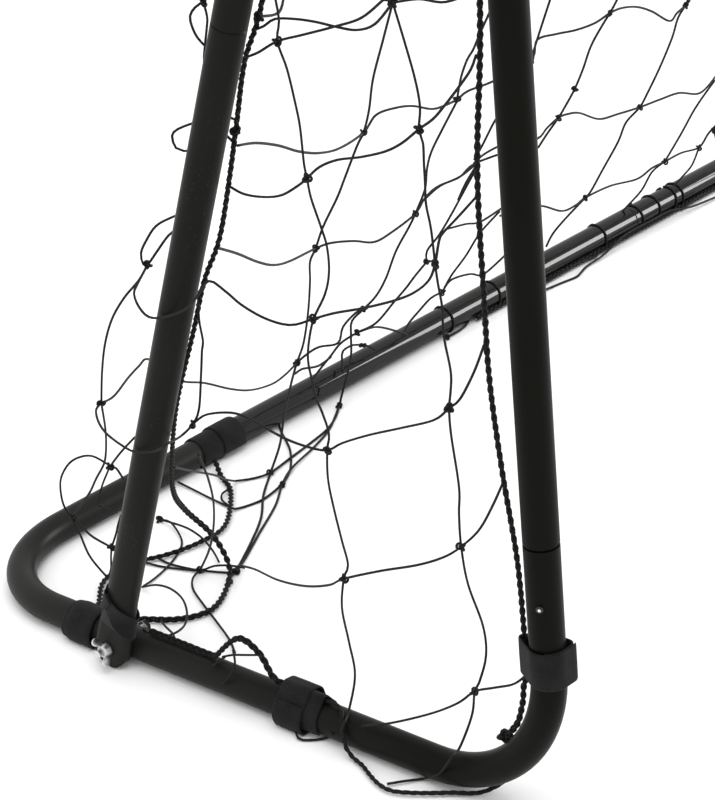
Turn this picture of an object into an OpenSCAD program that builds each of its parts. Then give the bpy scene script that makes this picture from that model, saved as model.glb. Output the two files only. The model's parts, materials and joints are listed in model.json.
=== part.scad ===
// Small free-standing garden football goal: a frame of bent steel tubes that plug
// together, two diagonal struts bolted on with wing nuts, and a knotted net tied on
// with rope and hook-and-loop straps.
// Millimetres, Z up. The origin is on the ground at the middle of the goal, +Y is the
// back of the goal and -Y its mouth. Side pieces are drawn in the left side's own
// frame: x = 0 in the side's plane and growing inwards, y = 0 on the front post,
// z = 0 on the ground. The right side is the mirror image.

/* [Goal] */
// Overall width, over the side tubes
goal_width = 1830; // [1500:10:2400]
// Overall height, over the crossbar
goal_height = 1220; // [1000:10:1500]
// Depth on the ground, over the tubes
goal_depth = 633; // [560:1:800]

/* [Tubes] */
// Outside diameter of every tube
tube_d = 25; // [23:0.5:28]
// Wall thickness of every tube
tube_wall = 1.2; // [0.8:0.1:1.6]
// Centreline bend radius between the front post and the side bar
elbow_r = 110; // [80:1:130]
// Centreline bend radius at the rear corners
corner_r = 102; // [70:1:120]
// Centreline bend radius at the top corners
top_r = 60; // [45:1:70]

/* [Plug joints] */
// Height of the joint between the base tube and the front post
post_joint_h = 219; // [190:1:260]
// Height of the joint between the front post and the top corner
top_joint_h = 1000; // [700:10:1010]
// Distance from the side's plane to the joint in the crossbar
crossbar_joint_x = 400; // [200:10:500]
// Distance from the side's plane to the outer joint in the rear bar
rear_joint_x = 288; // [250:1:400]
// Length of the narrowed end that plugs into the next tube
plug_l = 70; // [60:1:90]
// Radial clearance round a plugged end
plug_gap = 0.2; // [0.1:0.05:0.4]
// Length of the shoulder where a tube narrows
shoulder_l = 2; // [1:0.5:4]

/* [Snap buttons] */
// Diameter of the snap buttons
button_d = 5; // [5:0.5:7]
// How far a snap button stands out of the tube
button_proud = 2.5; // [1.5:0.1:3.5]
// Distance from the joint's mouth to the snap button
button_inset = 41.5; // [30:0.5:50]
// Distance from the strut joint's mouth to its snap button
strut_button_inset = 28; // [20:0.5:50]
// Angle of the lower post buttons, from outwards towards the front
button_turn = 24; // [0:1:90]

/* [Struts] */
// Distance from the foot strap's middle forwards to the strut's lower bolt
foot_gap = 52; // [47:1:80]
// Height of the strut's lower bolt
foot_bolt_h = 17; // [17:0.5:18]
// Height of the strut's upper bolt
top_bolt_h = 1130; // [1020:1:1138]
// Thickness of the pressed ends of the struts
press_t = 12; // [8:0.5:14]
// Width of the pressed ends of the struts
press_w = 33; // [30:0.5:33]
// Distance from the lower bolt to the joint in the strut
strut_joint_s = 565; // [400:5:700]

/* [Bolts and wing nuts] */
// Thread diameter of the bolts
bolt_d = 6; // [5:1:8]
// Span of a wing nut over its wings
wing_span = 24; // [24:1:30]
// Height of a wing nut's hub
nut_h = 7; // [5:0.5:9]
// How far the bolt's end stands out of its nut
bolt_spare = 4; // [2:0.5:8]

/* [Straps] */
// Width of the hook-and-loop straps
strap_w = 28; // [20:1:32]
// Thickness of a strap
strap_t = 2; // [1.5:0.1:3]
// Height of the middle of the strap on the front post
post_strap_h = 130; // [125:1:150]
// Distance behind the front post of the middle of the side bar's strap
side_strap_y = 238; // [200:1:300]
// Distance from the rear corner's bend forwards to the foot strap's middle
foot_strap_gap = 36; // [18:1:40]
// Distance from the side's plane to the middle of the rear bar's strap
rear_strap_x = 276; // [150:1:280]
// Length of a strap's loose end
tab_l = 8; // [4:0.5:8]
// Direction of the post strap's loose end, from inwards towards the front
post_tab_turn = 46; // [20:1:60]
// Direction of the side bar strap's loose end, from inwards upwards
side_tab_turn = 62; // [40:1:75]
// Number of straps that hold the net to the crossbar
crossbar_straps_n = 5; // [3:1:7]

/* [Net] */
// Diameter of the border rope
rope_d = 5; // [4:0.5:6]
// Diameter of the net's cord
cord_d = 2; // [1.5:0.1:3]
// Mesh of the back net, measured from knot to knot
mesh = 120; // [100:5:160]
// Length of the rope in front of the rear bar
rear_rope_l = 525; // [200:5:600]

/* [Hidden] */
$fn = 64;

// Colours
coat_black = "#1b1c17";
strap_black = "#2f3030";
cord_black = "#262626";
zinc = "#b9bcbf";
spring_steel = "#8a8d90";

// Frame
tube_r = tube_d / 2;
bore_r = tube_r - tube_wall;
side_x = goal_width / 2 - tube_r;
front_y = goal_depth / 2 - tube_r;
rear_y = goal_depth - tube_d;
foot_strap_y = rear_y - corner_r - foot_strap_gap;
foot_y = foot_strap_y - foot_gap;
crossbar_z = goal_height - tube_r;
span = 2 * side_x;
plug_r = bore_r - plug_gap;
plug_bore_r = plug_r - tube_wall;

// Snap buttons: a headed pin behind the tube's wall, pushed out by a leaf spring
button_gap = 0.3;
button_r = button_d / 2;
button_hole_r = button_r + button_gap;
flange_r = button_r + 1;
flange_t = 0.8;
flange_top = sqrt(pow(plug_bore_r, 2) - pow(flange_r, 2)) - 0.4;
button_tip = tube_r + button_proud;
leaf_t = 0.6;
leaf_w = 8;
leaf_front = flange_top - flange_t - button_gap;
leaf_back = -sqrt(pow(plug_bore_r, 2) - pow(leaf_w / 2, 2)) + 0.1;
leaf_bend_r = 2;
leaf_l = 34;
leaf_tail = 10;

// Struts
press_gap = 0.3;
strut_off = tube_r + press_gap + press_t / 2;
strut_rise = top_bolt_h - foot_bolt_h;
strut_l = sqrt(pow(foot_y, 2) + pow(strut_rise, 2));
strut_lean = atan2(foot_y, strut_rise);
foot_press_l = 20;
foot_blend_l = 30;
top_press_l = 38;
top_blend_l = 45;

// Bolts and wing nuts
bolt_r = bolt_d / 2;
bolt_hole_r = bolt_r + 0.4;
bolt_head_r = bolt_d * 0.96;
bolt_head_h = bolt_d * 0.66;
nut_play = 0.05;
nut_seat = strut_off + press_t / 2 + 0.3;
nut_base_r = bolt_d * 0.95;
nut_tip_r = bolt_d * 0.75;
wing_t = 2.4;
wing_rise = nut_h + 4;

// Ropes and straps
rope_r = rope_d / 2;
touch = 0.2;
rope_off = tube_r + rope_r + 2 * touch;
strap_in = tube_r + touch;
strap_out = strap_in + strap_t;
belly = 2.8;
belly_turn = 27;
strut_strap_s = 42;
strut_strap_tilt = 40;
strut_strap_w = 18;

// Net panels: the back slopes from the crossbar's straps to the straps on the rear bar
strap_back = rope_off + rope_r + strap_t + 2 * touch;
net_top_y = strap_back + cord_d / 2;
net_low_off = strap_out + strap_t + touch;
net_slope = atan2(rear_y - net_top_y, crossbar_z - tube_r);
net_low_y = rear_y - net_low_off * sin(net_slope);
net_low_z = tube_r + net_low_off * cos(net_slope);
net_l = sqrt(pow(net_low_y - net_top_y, 2) + pow(crossbar_z - net_low_z, 2));
net_margin = 30;
side_net_low = 36;
net_cols = floor((span - 2 * net_margin) / mesh);
net_rows = floor(net_l / mesh);

// Free stretches of rope on the left side, as points that the rope passes through
seam_top = [4, rope_off + rope_d + touch, crossbar_z - top_r + 20];
seam_end = [6, 212, 556];
seam_steps = 6;
seam_tail = [[6, 234, 511], [6, 247, 468], [7, 262, 421], [8, 279, 374], [8, 299, 338],
    [9, 317, 295], [16, 350, 230], [36, 385, 170], [68, 425, 112],
    [105, 455, 70], [130, 453, 36], [132, 440, 12], [117, 428, 3.8], [89, 413, 3],
    [70, 413, 3], [53, 425, 3], [40, 444, 3.5], [26, 458, 6], [16.2, 464, 9]];
slack_route = [[0, 223, 27.9], [0, 211, 27.9], [-1, 199, 28.2], [-6, 191, 27.1],
    [-12, 186, 22.3], [-16, 182, 14.5], [-17.2, 179, 7.5], [-18.5, 172, 3.2], [-22, 160, 3],
    [-29, 146, 3], [-34.5, 132, 3], [-35, 119, 3], [-26, 102, 3], [-13, 84, 3], [-2, 66, 4],
    [12, 54, 12], [16.8, 50, 28], [14, 45, 44], [5.4, 43, 57.5]];
corner_route = [[268, 588.6, 10], [256, 570, 4], [240, 543, 3], [193, 504, 3], [160, 500, 3],
    [128, 508, 3], [96, 524, 3], [66, 520, 3], [42, 500, 3], [26, 484, 6], [16.2, 476, 9]];
side_route = [[0, 224, 27.9], [0, 246, 27.9], [0, 253, 27.9], [-2.2, 256.8, 30],
    [-4.4, 260.2, 34.2], [-4.8, 264, 40.2], [-4.8, 269.3, 48.5], [-4.8, 278.8, 55], [-4.8, 285.8, 57.2],
    [-4.8, 292.8, 56.5], [-4.8, 302.3, 49.6], [-4.8, 311.8, 40.2], [-4.4, 317, 34.8],
    [-2.2, 322.5, 30.4], [0, 330, 27.9], [0, 345, 27.9], [0, 370, 27.9], [0, 395, 27.9]];
rope_sides = 8;
rope_steps = 3;

// The front rope lies along the elbow, bows away from the post and follows the crossbar:
// [angle in the elbow, gap to the tube], then [height on the post, gap to the tube]
elbow_run = [[43, 0], [33, 0.3], [26, 2.1], [19, 3.7], [12, 5.4]];
post_rope_slack = 4;
strap_run = [for (end = [-1:1]) [post_strap_h + end * (strap_w / 2 + 2), post_rope_slack]];
post_run = concat(strap_run, [[201, 6], [265, 14], [328, 19.5], [385, 19.5], [473, 18],
    [584, 7], [760, 3]]);
side_front = rope_off + max([for (p = post_run) p[1]]) + rope_r + 1;
half_route = concat(
    [for (p = elbow_run) let (r = elbow_r - rope_off - p[1])
        [0, elbow_r - r * cos(p[0]), tube_r + elbow_r - r * sin(p[0])]],
    [for (p = post_run) [0, rope_off + p[1], p[0]]]);
top_arc = [for (turn = [0:22.5:90])
    [top_r * (1 - cos(turn)), rope_off, crossbar_z - top_r + top_r * sin(turn)]];

// ---------- Helpers ----------

// The left side's frame, in the goal's frame
module left() {
    translate([-side_x, -front_y, 0]) children();
}

// The same thing mirrored to the right side
module right() {
    mirror([1, 0, 0]) left() children();
}

// Tube wall as a flat ring
module tube_ring() {
    difference() {
        circle(tube_r);
        circle(bore_r);
    }
}

// Straight plain tube along +Z
module plain_tube(l) {
    linear_extrude(l) tube_ring();
}

// Quarter bend with its centre at the origin, from the X axis to the Y axis
module bend(r) {
    rotate_extrude(angle = 90) translate([r, 0]) tube_ring();
}

// Straight tube along +Z with its mouth joint at z = 0, narrowed below it to plug in.
// With both_ends its far end narrows as well.
module plugged_tube(l, both_ends = false) {
    shoulder = [[plug_r, -plug_l], [plug_r, 0], [tube_r, shoulder_l]];
    inner = [[plug_bore_r, -plug_l], [plug_bore_r, 0], [bore_r, shoulder_l]];
    far_out = both_ends
        ? [[tube_r, l - shoulder_l], [plug_r, l], [plug_r, l + plug_l]]
        : [[tube_r, l]];
    far_in = both_ends
        ? [[bore_r, l - shoulder_l], [plug_bore_r, l], [plug_bore_r, l + plug_l]]
        : [[bore_r, l]];
    rotate_extrude() polygon(concat(shoulder, far_out, [for (i = [len(far_in) - 1:-1:0]) far_in[i]],
        [for (i = [len(inner) - 1:-1:0]) inner[i]]));
}

// Straight tube along +Z from z = 0 to its joint at z = l, narrowed beyond it to plug in
module plug_ended_tube(l) {
    rotate_extrude() polygon([[tube_r, 0], [tube_r, l - shoulder_l], [plug_r, l],
        [plug_r, l + plug_l], [plug_bore_r, l + plug_l], [plug_bore_r, l],
        [bore_r, l - shoulder_l], [bore_r, 0]]);
}

// Hole through one wall of a tube along Z, towards +X
module button_hole(z) {
    translate([0, 0, z]) rotate([0, 90, 0]) cylinder(r = button_hole_r, h = button_tip);
}

// Snap button in a tube along Z, pointing to +X
module snap_button(z) {
    translate([0, 0, z]) rotate([0, 90, 0]) {
        rotate_extrude($fn = 32) intersection() {
            translate([0, flange_top - flange_t]) square([button_r, button_tip]);
            translate([0, button_tip - 1.5 * button_r]) circle(1.5 * button_r);
        }
        translate([0, 0, flange_top - flange_t]) cylinder(r = flange_r, h = flange_t, $fn = 32);
    }
}

// Bent leaf that pushes the snap button out, its bend on the +Z side of the button
module leaf_spring(z) {
    bend_z = leaf_l - leaf_tail;
    rise = atan2(leaf_front - leaf_bend_r, leaf_l);
    fall = atan2(-leaf_back - leaf_bend_r, leaf_l);
    translate([0, 0, z]) rotate([90, 0, 0]) linear_extrude(leaf_w, center = true) {
        translate([leaf_bend_r, bend_z]) rotate(rise) translate([-leaf_t, -leaf_l])
            square([leaf_t, leaf_l]);
        translate([-leaf_bend_r, bend_z]) rotate(-fall) translate([0, -leaf_l])
            square([leaf_t, leaf_l]);
        translate([0, bend_z]) intersection() {
            difference() {
                circle(leaf_bend_r);
                circle(leaf_bend_r - leaf_t);
            }
            translate([-leaf_bend_r, -leaf_t / 2]) square(2 * leaf_bend_r);
        }
    }
}

// Where each joint's snap button sits, on the left side
module at_lower_post_button() {
    translate([0, 0, post_joint_h]) rotate([0, 0, 180 + button_turn]) children();
}
module at_upper_post_button() {
    translate([0, 0, top_joint_h]) rotate([0, 0, 180]) children();
}
module at_crossbar_button() {
    translate([crossbar_joint_x, 0, crossbar_z]) rotate([0, 90, 0]) children();
}
module at_rear_button() {
    translate([rear_joint_x, rear_y, tube_r]) rotate([90, 0, 90]) children();
}
module at_middle_button() {
    translate([span / 2, rear_y, tube_r]) rotate([90, 0, 90]) children();
}
module at_strut_button() {
    on_strut() translate([0, 0, strut_joint_s]) rotate([0, 0, -90]) rotate([180, 0, 0])
        children();
}

// The strut's own frame: +Z up along it from the lower bolt, +X inwards
module on_strut() {
    translate([-strut_off, foot_y, foot_bolt_h]) rotate([strut_lean, 0, 0]) children();
}

// Outline of a pressed strut end, grown by e
module press_outline(e = 0) {
    square([press_t + 2 * e, press_w - press_t], center = true);
    for (s = [-1, 1]) translate([0, s * (press_w - press_t) / 2]) circle(press_t / 2 + e);
}

// Solid of a strut's end: pressed from the bolt at z = 0, blending to the round tube.
// It is grown by e, and its outer end is rounded about the bolt.
module pressed_end(e, press_l, blend_l, rounded = true) {
    reach = press_w / 2 + 1;
    thin = 0.2;
    nested = 0.1;
    intersection() {
        translate([0, 0, -reach]) linear_extrude(press_l + reach) press_outline(e);
        union() {
            rotate([0, 90, 0]) cylinder(r = rounded ? press_w / 2 + e : 2 * reach, h = 2 * press_w,
                center = true);
            translate([-press_w, -press_w, 0]) cube([2 * press_w, 2 * press_w, press_l]);
        }
    }
    hull() {
        translate([0, 0, press_l]) linear_extrude(thin) press_outline(e - nested, $fn = 32);
        translate([0, 0, press_l + blend_l - thin])
            cylinder(r = tube_r + e - nested, h = thin, $fn = 32);
    }
}

// Outline of a belt round a circle at the origin and a smaller one at y = d
module belt_outline(big_r, small_r, d) {
    lean = asin((big_r - small_r) / d);
    circle(big_r);
    translate([0, d]) circle(small_r);
    polygon([for (c = [[big_r, 0, 1], [small_r, d, 1], [small_r, d, -1], [big_r, 0, -1]])
        [c[2] * c[0] * cos(lean), c[1] + c[0] * sin(lean)]]);
}

// Strap round a tube and the rope beside it, along Z; the rope lies towards +Y, `slack`
// further out than where it would touch the tube
module strap_loop(w, slack = 0) {
    linear_extrude(w, center = true) difference() {
        belt_outline(strap_out, rope_r + touch + strap_t, rope_off + slack);
        belt_outline(strap_in, rope_r + touch, rope_off + slack);
    }
}

// Plain strap round a tube along Z, with a second layer shifted by `over` for its tail
module strap_wrap(w, over, turn) {
    translate([0, 0, -w / 2]) linear_extrude(w) difference() {
        circle(strap_out);
        circle(strap_in);
    }
    translate([0, 0, over - w / 2]) rotate([0, 0, turn]) rotate_extrude(angle = 200)
        translate([strap_out - touch, 0]) square([strap_t, w]);
}

// Loose end of a strap, curling away from the strap at angle `turn`
module strap_tab(w, turn) {
    sunk = strap_t / 4;
    rotate([0, 0, turn]) translate([strap_out - sunk, -strap_t / 2, -w / 2])
        cube([tab_l, strap_t, w]);
}

function unit(v) = v / norm(v);

// Catmull-Rom curve through the points
function curve_at(p, i, t) =
    let (a = p[max(i - 1, 0)], b = p[i], c = p[i + 1], d = p[min(i + 2, len(p) - 1)])
    0.5 * (2 * b + (c - a) * t + (2 * a - 5 * b + 4 * c - d) * t * t
        + (3 * b - a - 3 * c + d) * t * t * t);
function curve(p, n) = concat(
    [for (i = [0:len(p) - 2]) for (k = [0:n - 1]) curve_at(p, i, k / n)], [p[len(p) - 1]]);

// Rope along its own points, as one closed tube
module rope_tube(path) {
    n = len(path);
    lean_to = [0.35, 0.25, 1];
    rings = [for (i = [0:n - 1])
        let (t = unit(path[min(i + 1, n - 1)] - path[max(i - 1, 0)]),
            side = unit(cross(lean_to, t)), up = cross(t, side))
        for (k = [0:rope_sides - 1])
            path[i] + rope_r * (side * cos(360 * k / rope_sides) + up * sin(360 * k / rope_sides))];
    walls = [for (i = [0:n - 2]) for (k = [0:rope_sides - 1])
        let (a = i * rope_sides + k, b = i * rope_sides + (k + 1) % rope_sides)
        each [[a, a + rope_sides, b], [b, a + rope_sides, b + rope_sides]]];
    last = (n - 1) * rope_sides;
    caps = concat([for (k = [1:rope_sides - 2]) [0, k, k + 1]],
        [for (k = [1:rope_sides - 2]) [last, last + k + 1, last + k]]);
    polyhedron(points = rings, faces = concat(walls, caps));
}

// Rope along the smooth curve through the points
module rope_along(points) {
    rope_tube(curve(points, rope_steps));
}

// ---------- Frame tubes, left side ----------

module base_tube() {
    color(coat_black) difference() {
        union() {
            translate([0, 0, tube_r + elbow_r]) plain_tube(post_joint_h - tube_r - elbow_r);
            translate([0, elbow_r, tube_r + elbow_r]) rotate([-90, 0, 0]) rotate([0, 90, 0])
                bend(elbow_r);
            translate([0, elbow_r, tube_r]) rotate([-90, 0, 0])
                plain_tube(rear_y - corner_r - elbow_r);
            translate([corner_r, rear_y - corner_r, tube_r]) rotate([0, 0, 90]) bend(corner_r);
            translate([corner_r, rear_y, tube_r]) rotate([0, 90, 0])
                plain_tube(rear_joint_x - corner_r);
        }
        at_lower_post_button() button_hole(-button_inset);
        at_rear_button() button_hole(-button_inset);
        translate([0, foot_y, foot_bolt_h]) rotate([0, 90, 0])
            cylinder(r = bolt_hole_r, h = 2 * tube_d, center = true);
    }
}

module front_post() {
    color(coat_black) difference() {
        translate([0, 0, post_joint_h]) plugged_tube(top_joint_h - post_joint_h);
        at_lower_post_button() button_hole(-button_inset);
        at_upper_post_button() button_hole(-button_inset);
    }
}

module top_corner() {
    color(coat_black) difference() {
        translate([0, 0, crossbar_z - top_r]) {
            mirror([0, 0, 1]) plug_ended_tube(crossbar_z - top_r - top_joint_h);
            translate([top_r, 0, 0]) rotate([90, 0, 180]) mirror([0, 0, 1]) bend(top_r);
            translate([top_r, 0, top_r]) rotate([0, 90, 0])
                plain_tube(crossbar_joint_x - top_r);
        }
        at_upper_post_button() button_hole(-button_inset);
        at_crossbar_button() button_hole(-button_inset);
        translate([0, 0, top_bolt_h]) rotate([0, 90, 0])
            cylinder(r = bolt_hole_r, h = 2 * tube_d, center = true);
    }
}

// Pressed strut end as a shell, open at its outer end
module pressed_shell(press_l, blend_l) {
    difference() {
        pressed_end(0, press_l, blend_l);
        pressed_end(-tube_wall, press_l, blend_l, false);
    }
}

module lower_strut() {
    round_from = foot_press_l + foot_blend_l;
    color(coat_black) difference() {
        on_strut() {
            pressed_shell(foot_press_l, foot_blend_l);
            translate([0, 0, strut_joint_s]) mirror([0, 0, 1])
                plugged_tube(strut_joint_s - round_from);
        }
        at_strut_button() button_hole(-strut_button_inset);
        on_strut() rotate([0, 90, 0]) cylinder(r = bolt_hole_r, h = tube_d, center = true);
    }
}

module upper_strut() {
    round_l = strut_l - top_press_l - top_blend_l - strut_joint_s;
    color(coat_black) difference() {
        on_strut() {
            translate([0, 0, strut_l]) mirror([0, 0, 1]) pressed_shell(top_press_l, top_blend_l);
            translate([0, 0, strut_joint_s]) plain_tube(round_l);
        }
        at_strut_button() button_hole(-strut_button_inset);
        on_strut() translate([0, 0, strut_l]) rotate([0, 90, 0])
            cylinder(r = bolt_hole_r, h = tube_d, center = true);
    }
}

// ---------- Middle tubes ----------

module crossbar_tube() {
    color(coat_black) difference() {
        left() translate([crossbar_joint_x, 0, crossbar_z]) rotate([0, 90, 0])
            plugged_tube(span - 2 * crossbar_joint_x, both_ends = true);
        left() at_crossbar_button() button_hole(-button_inset);
        right() at_crossbar_button() button_hole(-button_inset);
    }
}

module rear_bar_left() {
    color(coat_black) left() difference() {
        translate([rear_joint_x, rear_y, tube_r]) rotate([0, 90, 0])
            plugged_tube(span / 2 - rear_joint_x);
        at_rear_button() button_hole(-button_inset);
        at_middle_button() button_hole(-button_inset);
    }
}

module rear_bar_right() {
    color(coat_black) difference() {
        left() translate([span / 2, rear_y, tube_r]) rotate([0, 90, 0])
            plugged_tube(span / 2 - rear_joint_x, both_ends = true);
        left() at_middle_button() button_hole(-button_inset);
        right() at_rear_button() button_hole(-button_inset);
    }
}

// ---------- Bolts, wing nuts, buttons and springs ----------

// Bolt along X with its head on the tube's inner side, in the frame of its hole
module strut_bolt() {
    length = tube_r + touch + nut_seat + nut_h + bolt_spare;
    translate([tube_r + touch, 0, 0]) rotate([0, -90, 0]) cylinder(r = bolt_r, h = length);
    translate([tube_r + touch, 0, 0]) rotate([0, 90, 0])
        cylinder(r = bolt_head_r, h = bolt_head_h, $fn = 6);
}

module bolt_pair() {
    translate([0, foot_y, foot_bolt_h]) strut_bolt();
    translate([0, 0, top_bolt_h]) strut_bolt();
}

module strut_bolts() {
    color(zinc) {
        left() bolt_pair();
        right() bolt_pair();
    }
}

// Wing nut with its bore along X and its base at the strut's outer face
module wing_nut(turn) {
    color(zinc) translate([-nut_seat, 0, 0]) rotate([turn, 0, 0]) rotate([0, -90, 0])
        difference() {
            union() {
                cylinder(r1 = nut_base_r, r2 = nut_tip_r, h = nut_h);
                for (s = [-1, 1]) hull() {
                    translate([s * (nut_base_r - 1), 0, nut_h / 2]) rotate([90, 0, 0])
                        cylinder(r = nut_h / 2, h = wing_t, center = true, $fn = 32);
                    translate([s * (wing_span / 2 - 3.5), 0, wing_rise - 3.5]) rotate([90, 0, 0])
                        cylinder(r = 3.5, h = wing_t * 0.8, center = true, $fn = 32);
                }
            }
            translate([0, 0, -1]) cylinder(r = bolt_r + nut_play, h = wing_rise + nut_h);
        }
}

foot_nut_turn = -31;
top_nut_turn = 25;

module foot_wing_nut() {
    translate([0, foot_y, foot_bolt_h]) wing_nut(foot_nut_turn);
}

module top_wing_nut() {
    translate([0, 0, top_bolt_h]) wing_nut(top_nut_turn);
}

// Snap buttons of the left side
module lower_post_button() {
    color(zinc) at_lower_post_button() snap_button(-button_inset);
}

module upper_post_button() {
    color(zinc) at_upper_post_button() snap_button(-button_inset);
}

module crossbar_button() {
    color(zinc) at_crossbar_button() snap_button(-button_inset);
}

module rear_button() {
    color(zinc) at_rear_button() snap_button(-button_inset);
}

module middle_button() {
    color(zinc) at_middle_button() snap_button(-button_inset);
}

module strut_button() {
    color(zinc) at_strut_button() snap_button(-strut_button_inset);
}

module side_springs() {
    at_lower_post_button() leaf_spring(-button_inset);
    at_upper_post_button() leaf_spring(-button_inset);
    at_crossbar_button() leaf_spring(-button_inset);
    at_rear_button() leaf_spring(-button_inset);
    at_strut_button() leaf_spring(-strut_button_inset);
}

module button_springs() {
    color(spring_steel) {
        left() side_springs();
        right() side_springs();
        left() at_middle_button() leaf_spring(-button_inset);
    }
}

// ---------- Straps ----------

module post_strap() {
    color(strap_black) translate([0, 0, post_strap_h]) {
        strap_loop(strap_w, post_rope_slack);
        strap_tab(strap_w * 0.8, -post_tab_turn);
    }
}

// What stands on the ground is squashed flat there
module above_ground() {
    intersection() {
        children();
        translate([-tube_d, -tube_d, 0]) cube([goal_width, goal_depth + 2 * tube_d, 4 * tube_d]);
    }
}

module side_bar_strap() {
    color(strap_black) above_ground() translate([0, side_strap_y, tube_r]) rotate([90, 0, 180]) {
        strap_loop(strap_w);
        strap_tab(strap_w, side_tab_turn);
    }
}

// Slack strap that bellies outwards, a little below the level
module foot_strap() {
    color(strap_black) above_ground() translate([0, foot_strap_y, tube_r]) rotate([90, 0, 180])
        rotate([0, 0, -90 - belly_turn]) linear_extrude(strap_w, center = true) difference() {
            belt_outline(strap_out, strap_out - belly, 2.1 * belly);
            belt_outline(strap_in, strap_in - belly, 2.05 * belly);
        }
}

// The strut's foot and the round tube above it, grown by e
module pressed_sleeve(e) {
    pressed_end(e, foot_press_l, foot_blend_l);
    translate([0, 0, foot_press_l + foot_blend_l]) cylinder(r = tube_r + e, h = 2 * tube_d);
}

// Slanted band that hugs the strut just above its pressed end
module strut_strap() {
    color(strap_black) on_strut() {
        intersection() {
            difference() {
                pressed_sleeve(touch + strap_t);
                pressed_sleeve(touch);
            }
            translate([0, 0, strut_strap_s]) rotate([strut_strap_tilt, 0, 0])
                cube([3 * tube_d, 4 * tube_d, strut_strap_w], center = true);
        }
    }
}

module rear_strap() {
    color(strap_black) above_ground() translate([rear_strap_x, rear_y, tube_r])
        rotate([90, 0, 90]) strap_wrap(strap_w, strap_w * 0.85, 0);
}

module crossbar_strap_row() {
    step = (span - 2 * top_r - 3 * strap_w) / (crossbar_straps_n - 1);
    color(strap_black) left() for (i = [0:crossbar_straps_n - 1])
        translate([top_r + 1.5 * strap_w + i * step, 0, crossbar_z]) rotate([0, 90, 0])
            strap_loop(strap_w);
}

// ---------- Net and ropes ----------

module back_net() {
    w = span - 2 * net_margin;
    cell_x = (w - cord_d) / net_cols;
    cell_y = (net_l - cord_d) / net_rows;
    color(cord_black) left() translate([net_margin, net_top_y, crossbar_z])
        rotate([net_slope - 90, 0, 0]) linear_extrude(cord_d, center = true) difference() {
            square([w, net_l]);
            for (i = [0:net_cols - 1]) for (j = [0:net_rows - 1])
                translate([i * cell_x + cord_d, j * cell_y + cord_d])
                    square([cell_x - cord_d, cell_y - cord_d]);
        }
}

// Triangle between the post's rope, the side bar and the seam rope, in (y, z)
function side_triangle(inset) =
    let (front = side_front + inset,
        low = side_net_low + inset,
        run = (seam_end[1] - seam_top[1]) / (seam_top[2] - seam_end[2]),
        back_shift = (rope_r + touch + inset) * sqrt(1 + run * run),
        back_low = seam_top[1] + run * (seam_top[2] - low) - back_shift)
    [[front, low], [back_low, low], [front, low + (back_low - front) / run]];

// The same, rounded inside the elbow
module side_outline(inset) {
    elbow_inside = elbow_r - side_front - inset;
    difference() {
        polygon(side_triangle(inset));
        difference() {
            square([elbow_r, tube_r + elbow_r]);
            translate([elbow_r, tube_r + elbow_r]) circle(elbow_inside);
        }
    }
}

module side_net() {
    cols = ceil((foot_y - side_front) / mesh);
    rows = ceil((crossbar_z - side_net_low) / mesh);
    color(cord_black) rotate([90, 0, 90]) linear_extrude(cord_d, center = true) difference() {
        side_outline(0);
        intersection() {
            side_outline(cord_d);
            for (i = [0:cols - 1]) for (j = [0:rows - 1])
                translate([side_front + cord_d + i * mesh, side_net_low + cord_d + j * mesh])
                    square(mesh - cord_d);
        }
    }
}

// Rope behind the posts and the crossbar, from inside one elbow to inside the other
module front_rope() {
    half = concat(curve(half_route, 2), top_arc);
    far_half = [for (i = [len(half) - 1:-1:0]) [span - half[i][0], half[i][1], half[i][2]]];
    color(cord_black) left() rope_tube(concat(half, far_half));
}

// Rope at the foot of the back net, in front of the rear bar
module rear_rope() {
    droop = 34;
    color(cord_black) left()
        translate([span / 2, rear_y - rope_off * cos(droop), tube_r - rope_off * sin(droop)])
            rotate([0, 90, 0]) cylinder(r = rope_r, h = rear_rope_l, center = true);
}

// Rope of the seam between the side net and the back net, down to the foot strap
module seam_rope() {
    run = seam_end - seam_top;
    color(cord_black)
        rope_along(concat([for (i = [0:seam_steps]) seam_top + run * i / seam_steps], seam_tail));
}

module side_rope() {
    color(cord_black) rope_along(side_route);
}

module slack_rope() {
    color(cord_black) rope_along(slack_route);
}

module corner_rope() {
    color(cord_black) rope_along(corner_route);
}

// ---------- Nodes ----------

left() base_tube();  // base_tube_left
right() base_tube();  // base_tube_right
left() front_post();  // front_post_left
right() front_post();  // front_post_right
left() top_corner();  // top_corner_left
right() top_corner();  // top_corner_right
crossbar_tube();
rear_bar_left();
rear_bar_right();
left() lower_strut();  // lower_strut_left
right() lower_strut();  // lower_strut_right
left() upper_strut();  // upper_strut_left
right() upper_strut();  // upper_strut_right
strut_bolts();
left() foot_wing_nut();  // foot_wing_nut_left
right() foot_wing_nut();  // foot_wing_nut_right
left() top_wing_nut();  // top_wing_nut_left
right() top_wing_nut();  // top_wing_nut_right
button_springs();
left() lower_post_button();  // lower_post_button_left
right() lower_post_button();  // lower_post_button_right
left() upper_post_button();  // upper_post_button_left
right() upper_post_button();  // upper_post_button_right
left() crossbar_button();  // crossbar_button_left
right() crossbar_button();  // crossbar_button_right
left() rear_button();  // rear_button_left
right() rear_button();  // rear_button_right
left() middle_button();  // rear_button_middle
left() strut_button();  // strut_button_left
right() strut_button();  // strut_button_right
left() post_strap();  // post_strap_left
right() post_strap();  // post_strap_right
left() side_bar_strap();  // side_bar_strap_left
right() side_bar_strap();  // side_bar_strap_right
left() foot_strap();  // foot_strap_left
right() foot_strap();  // foot_strap_right
left() strut_strap();  // strut_strap_left
right() strut_strap();  // strut_strap_right
left() rear_strap();  // rear_strap_left
right() rear_strap();  // rear_strap_right
crossbar_strap_row();  // crossbar_straps
back_net();
left() side_net();  // side_net_left
right() side_net();  // side_net_right
front_rope();
rear_rope();
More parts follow.
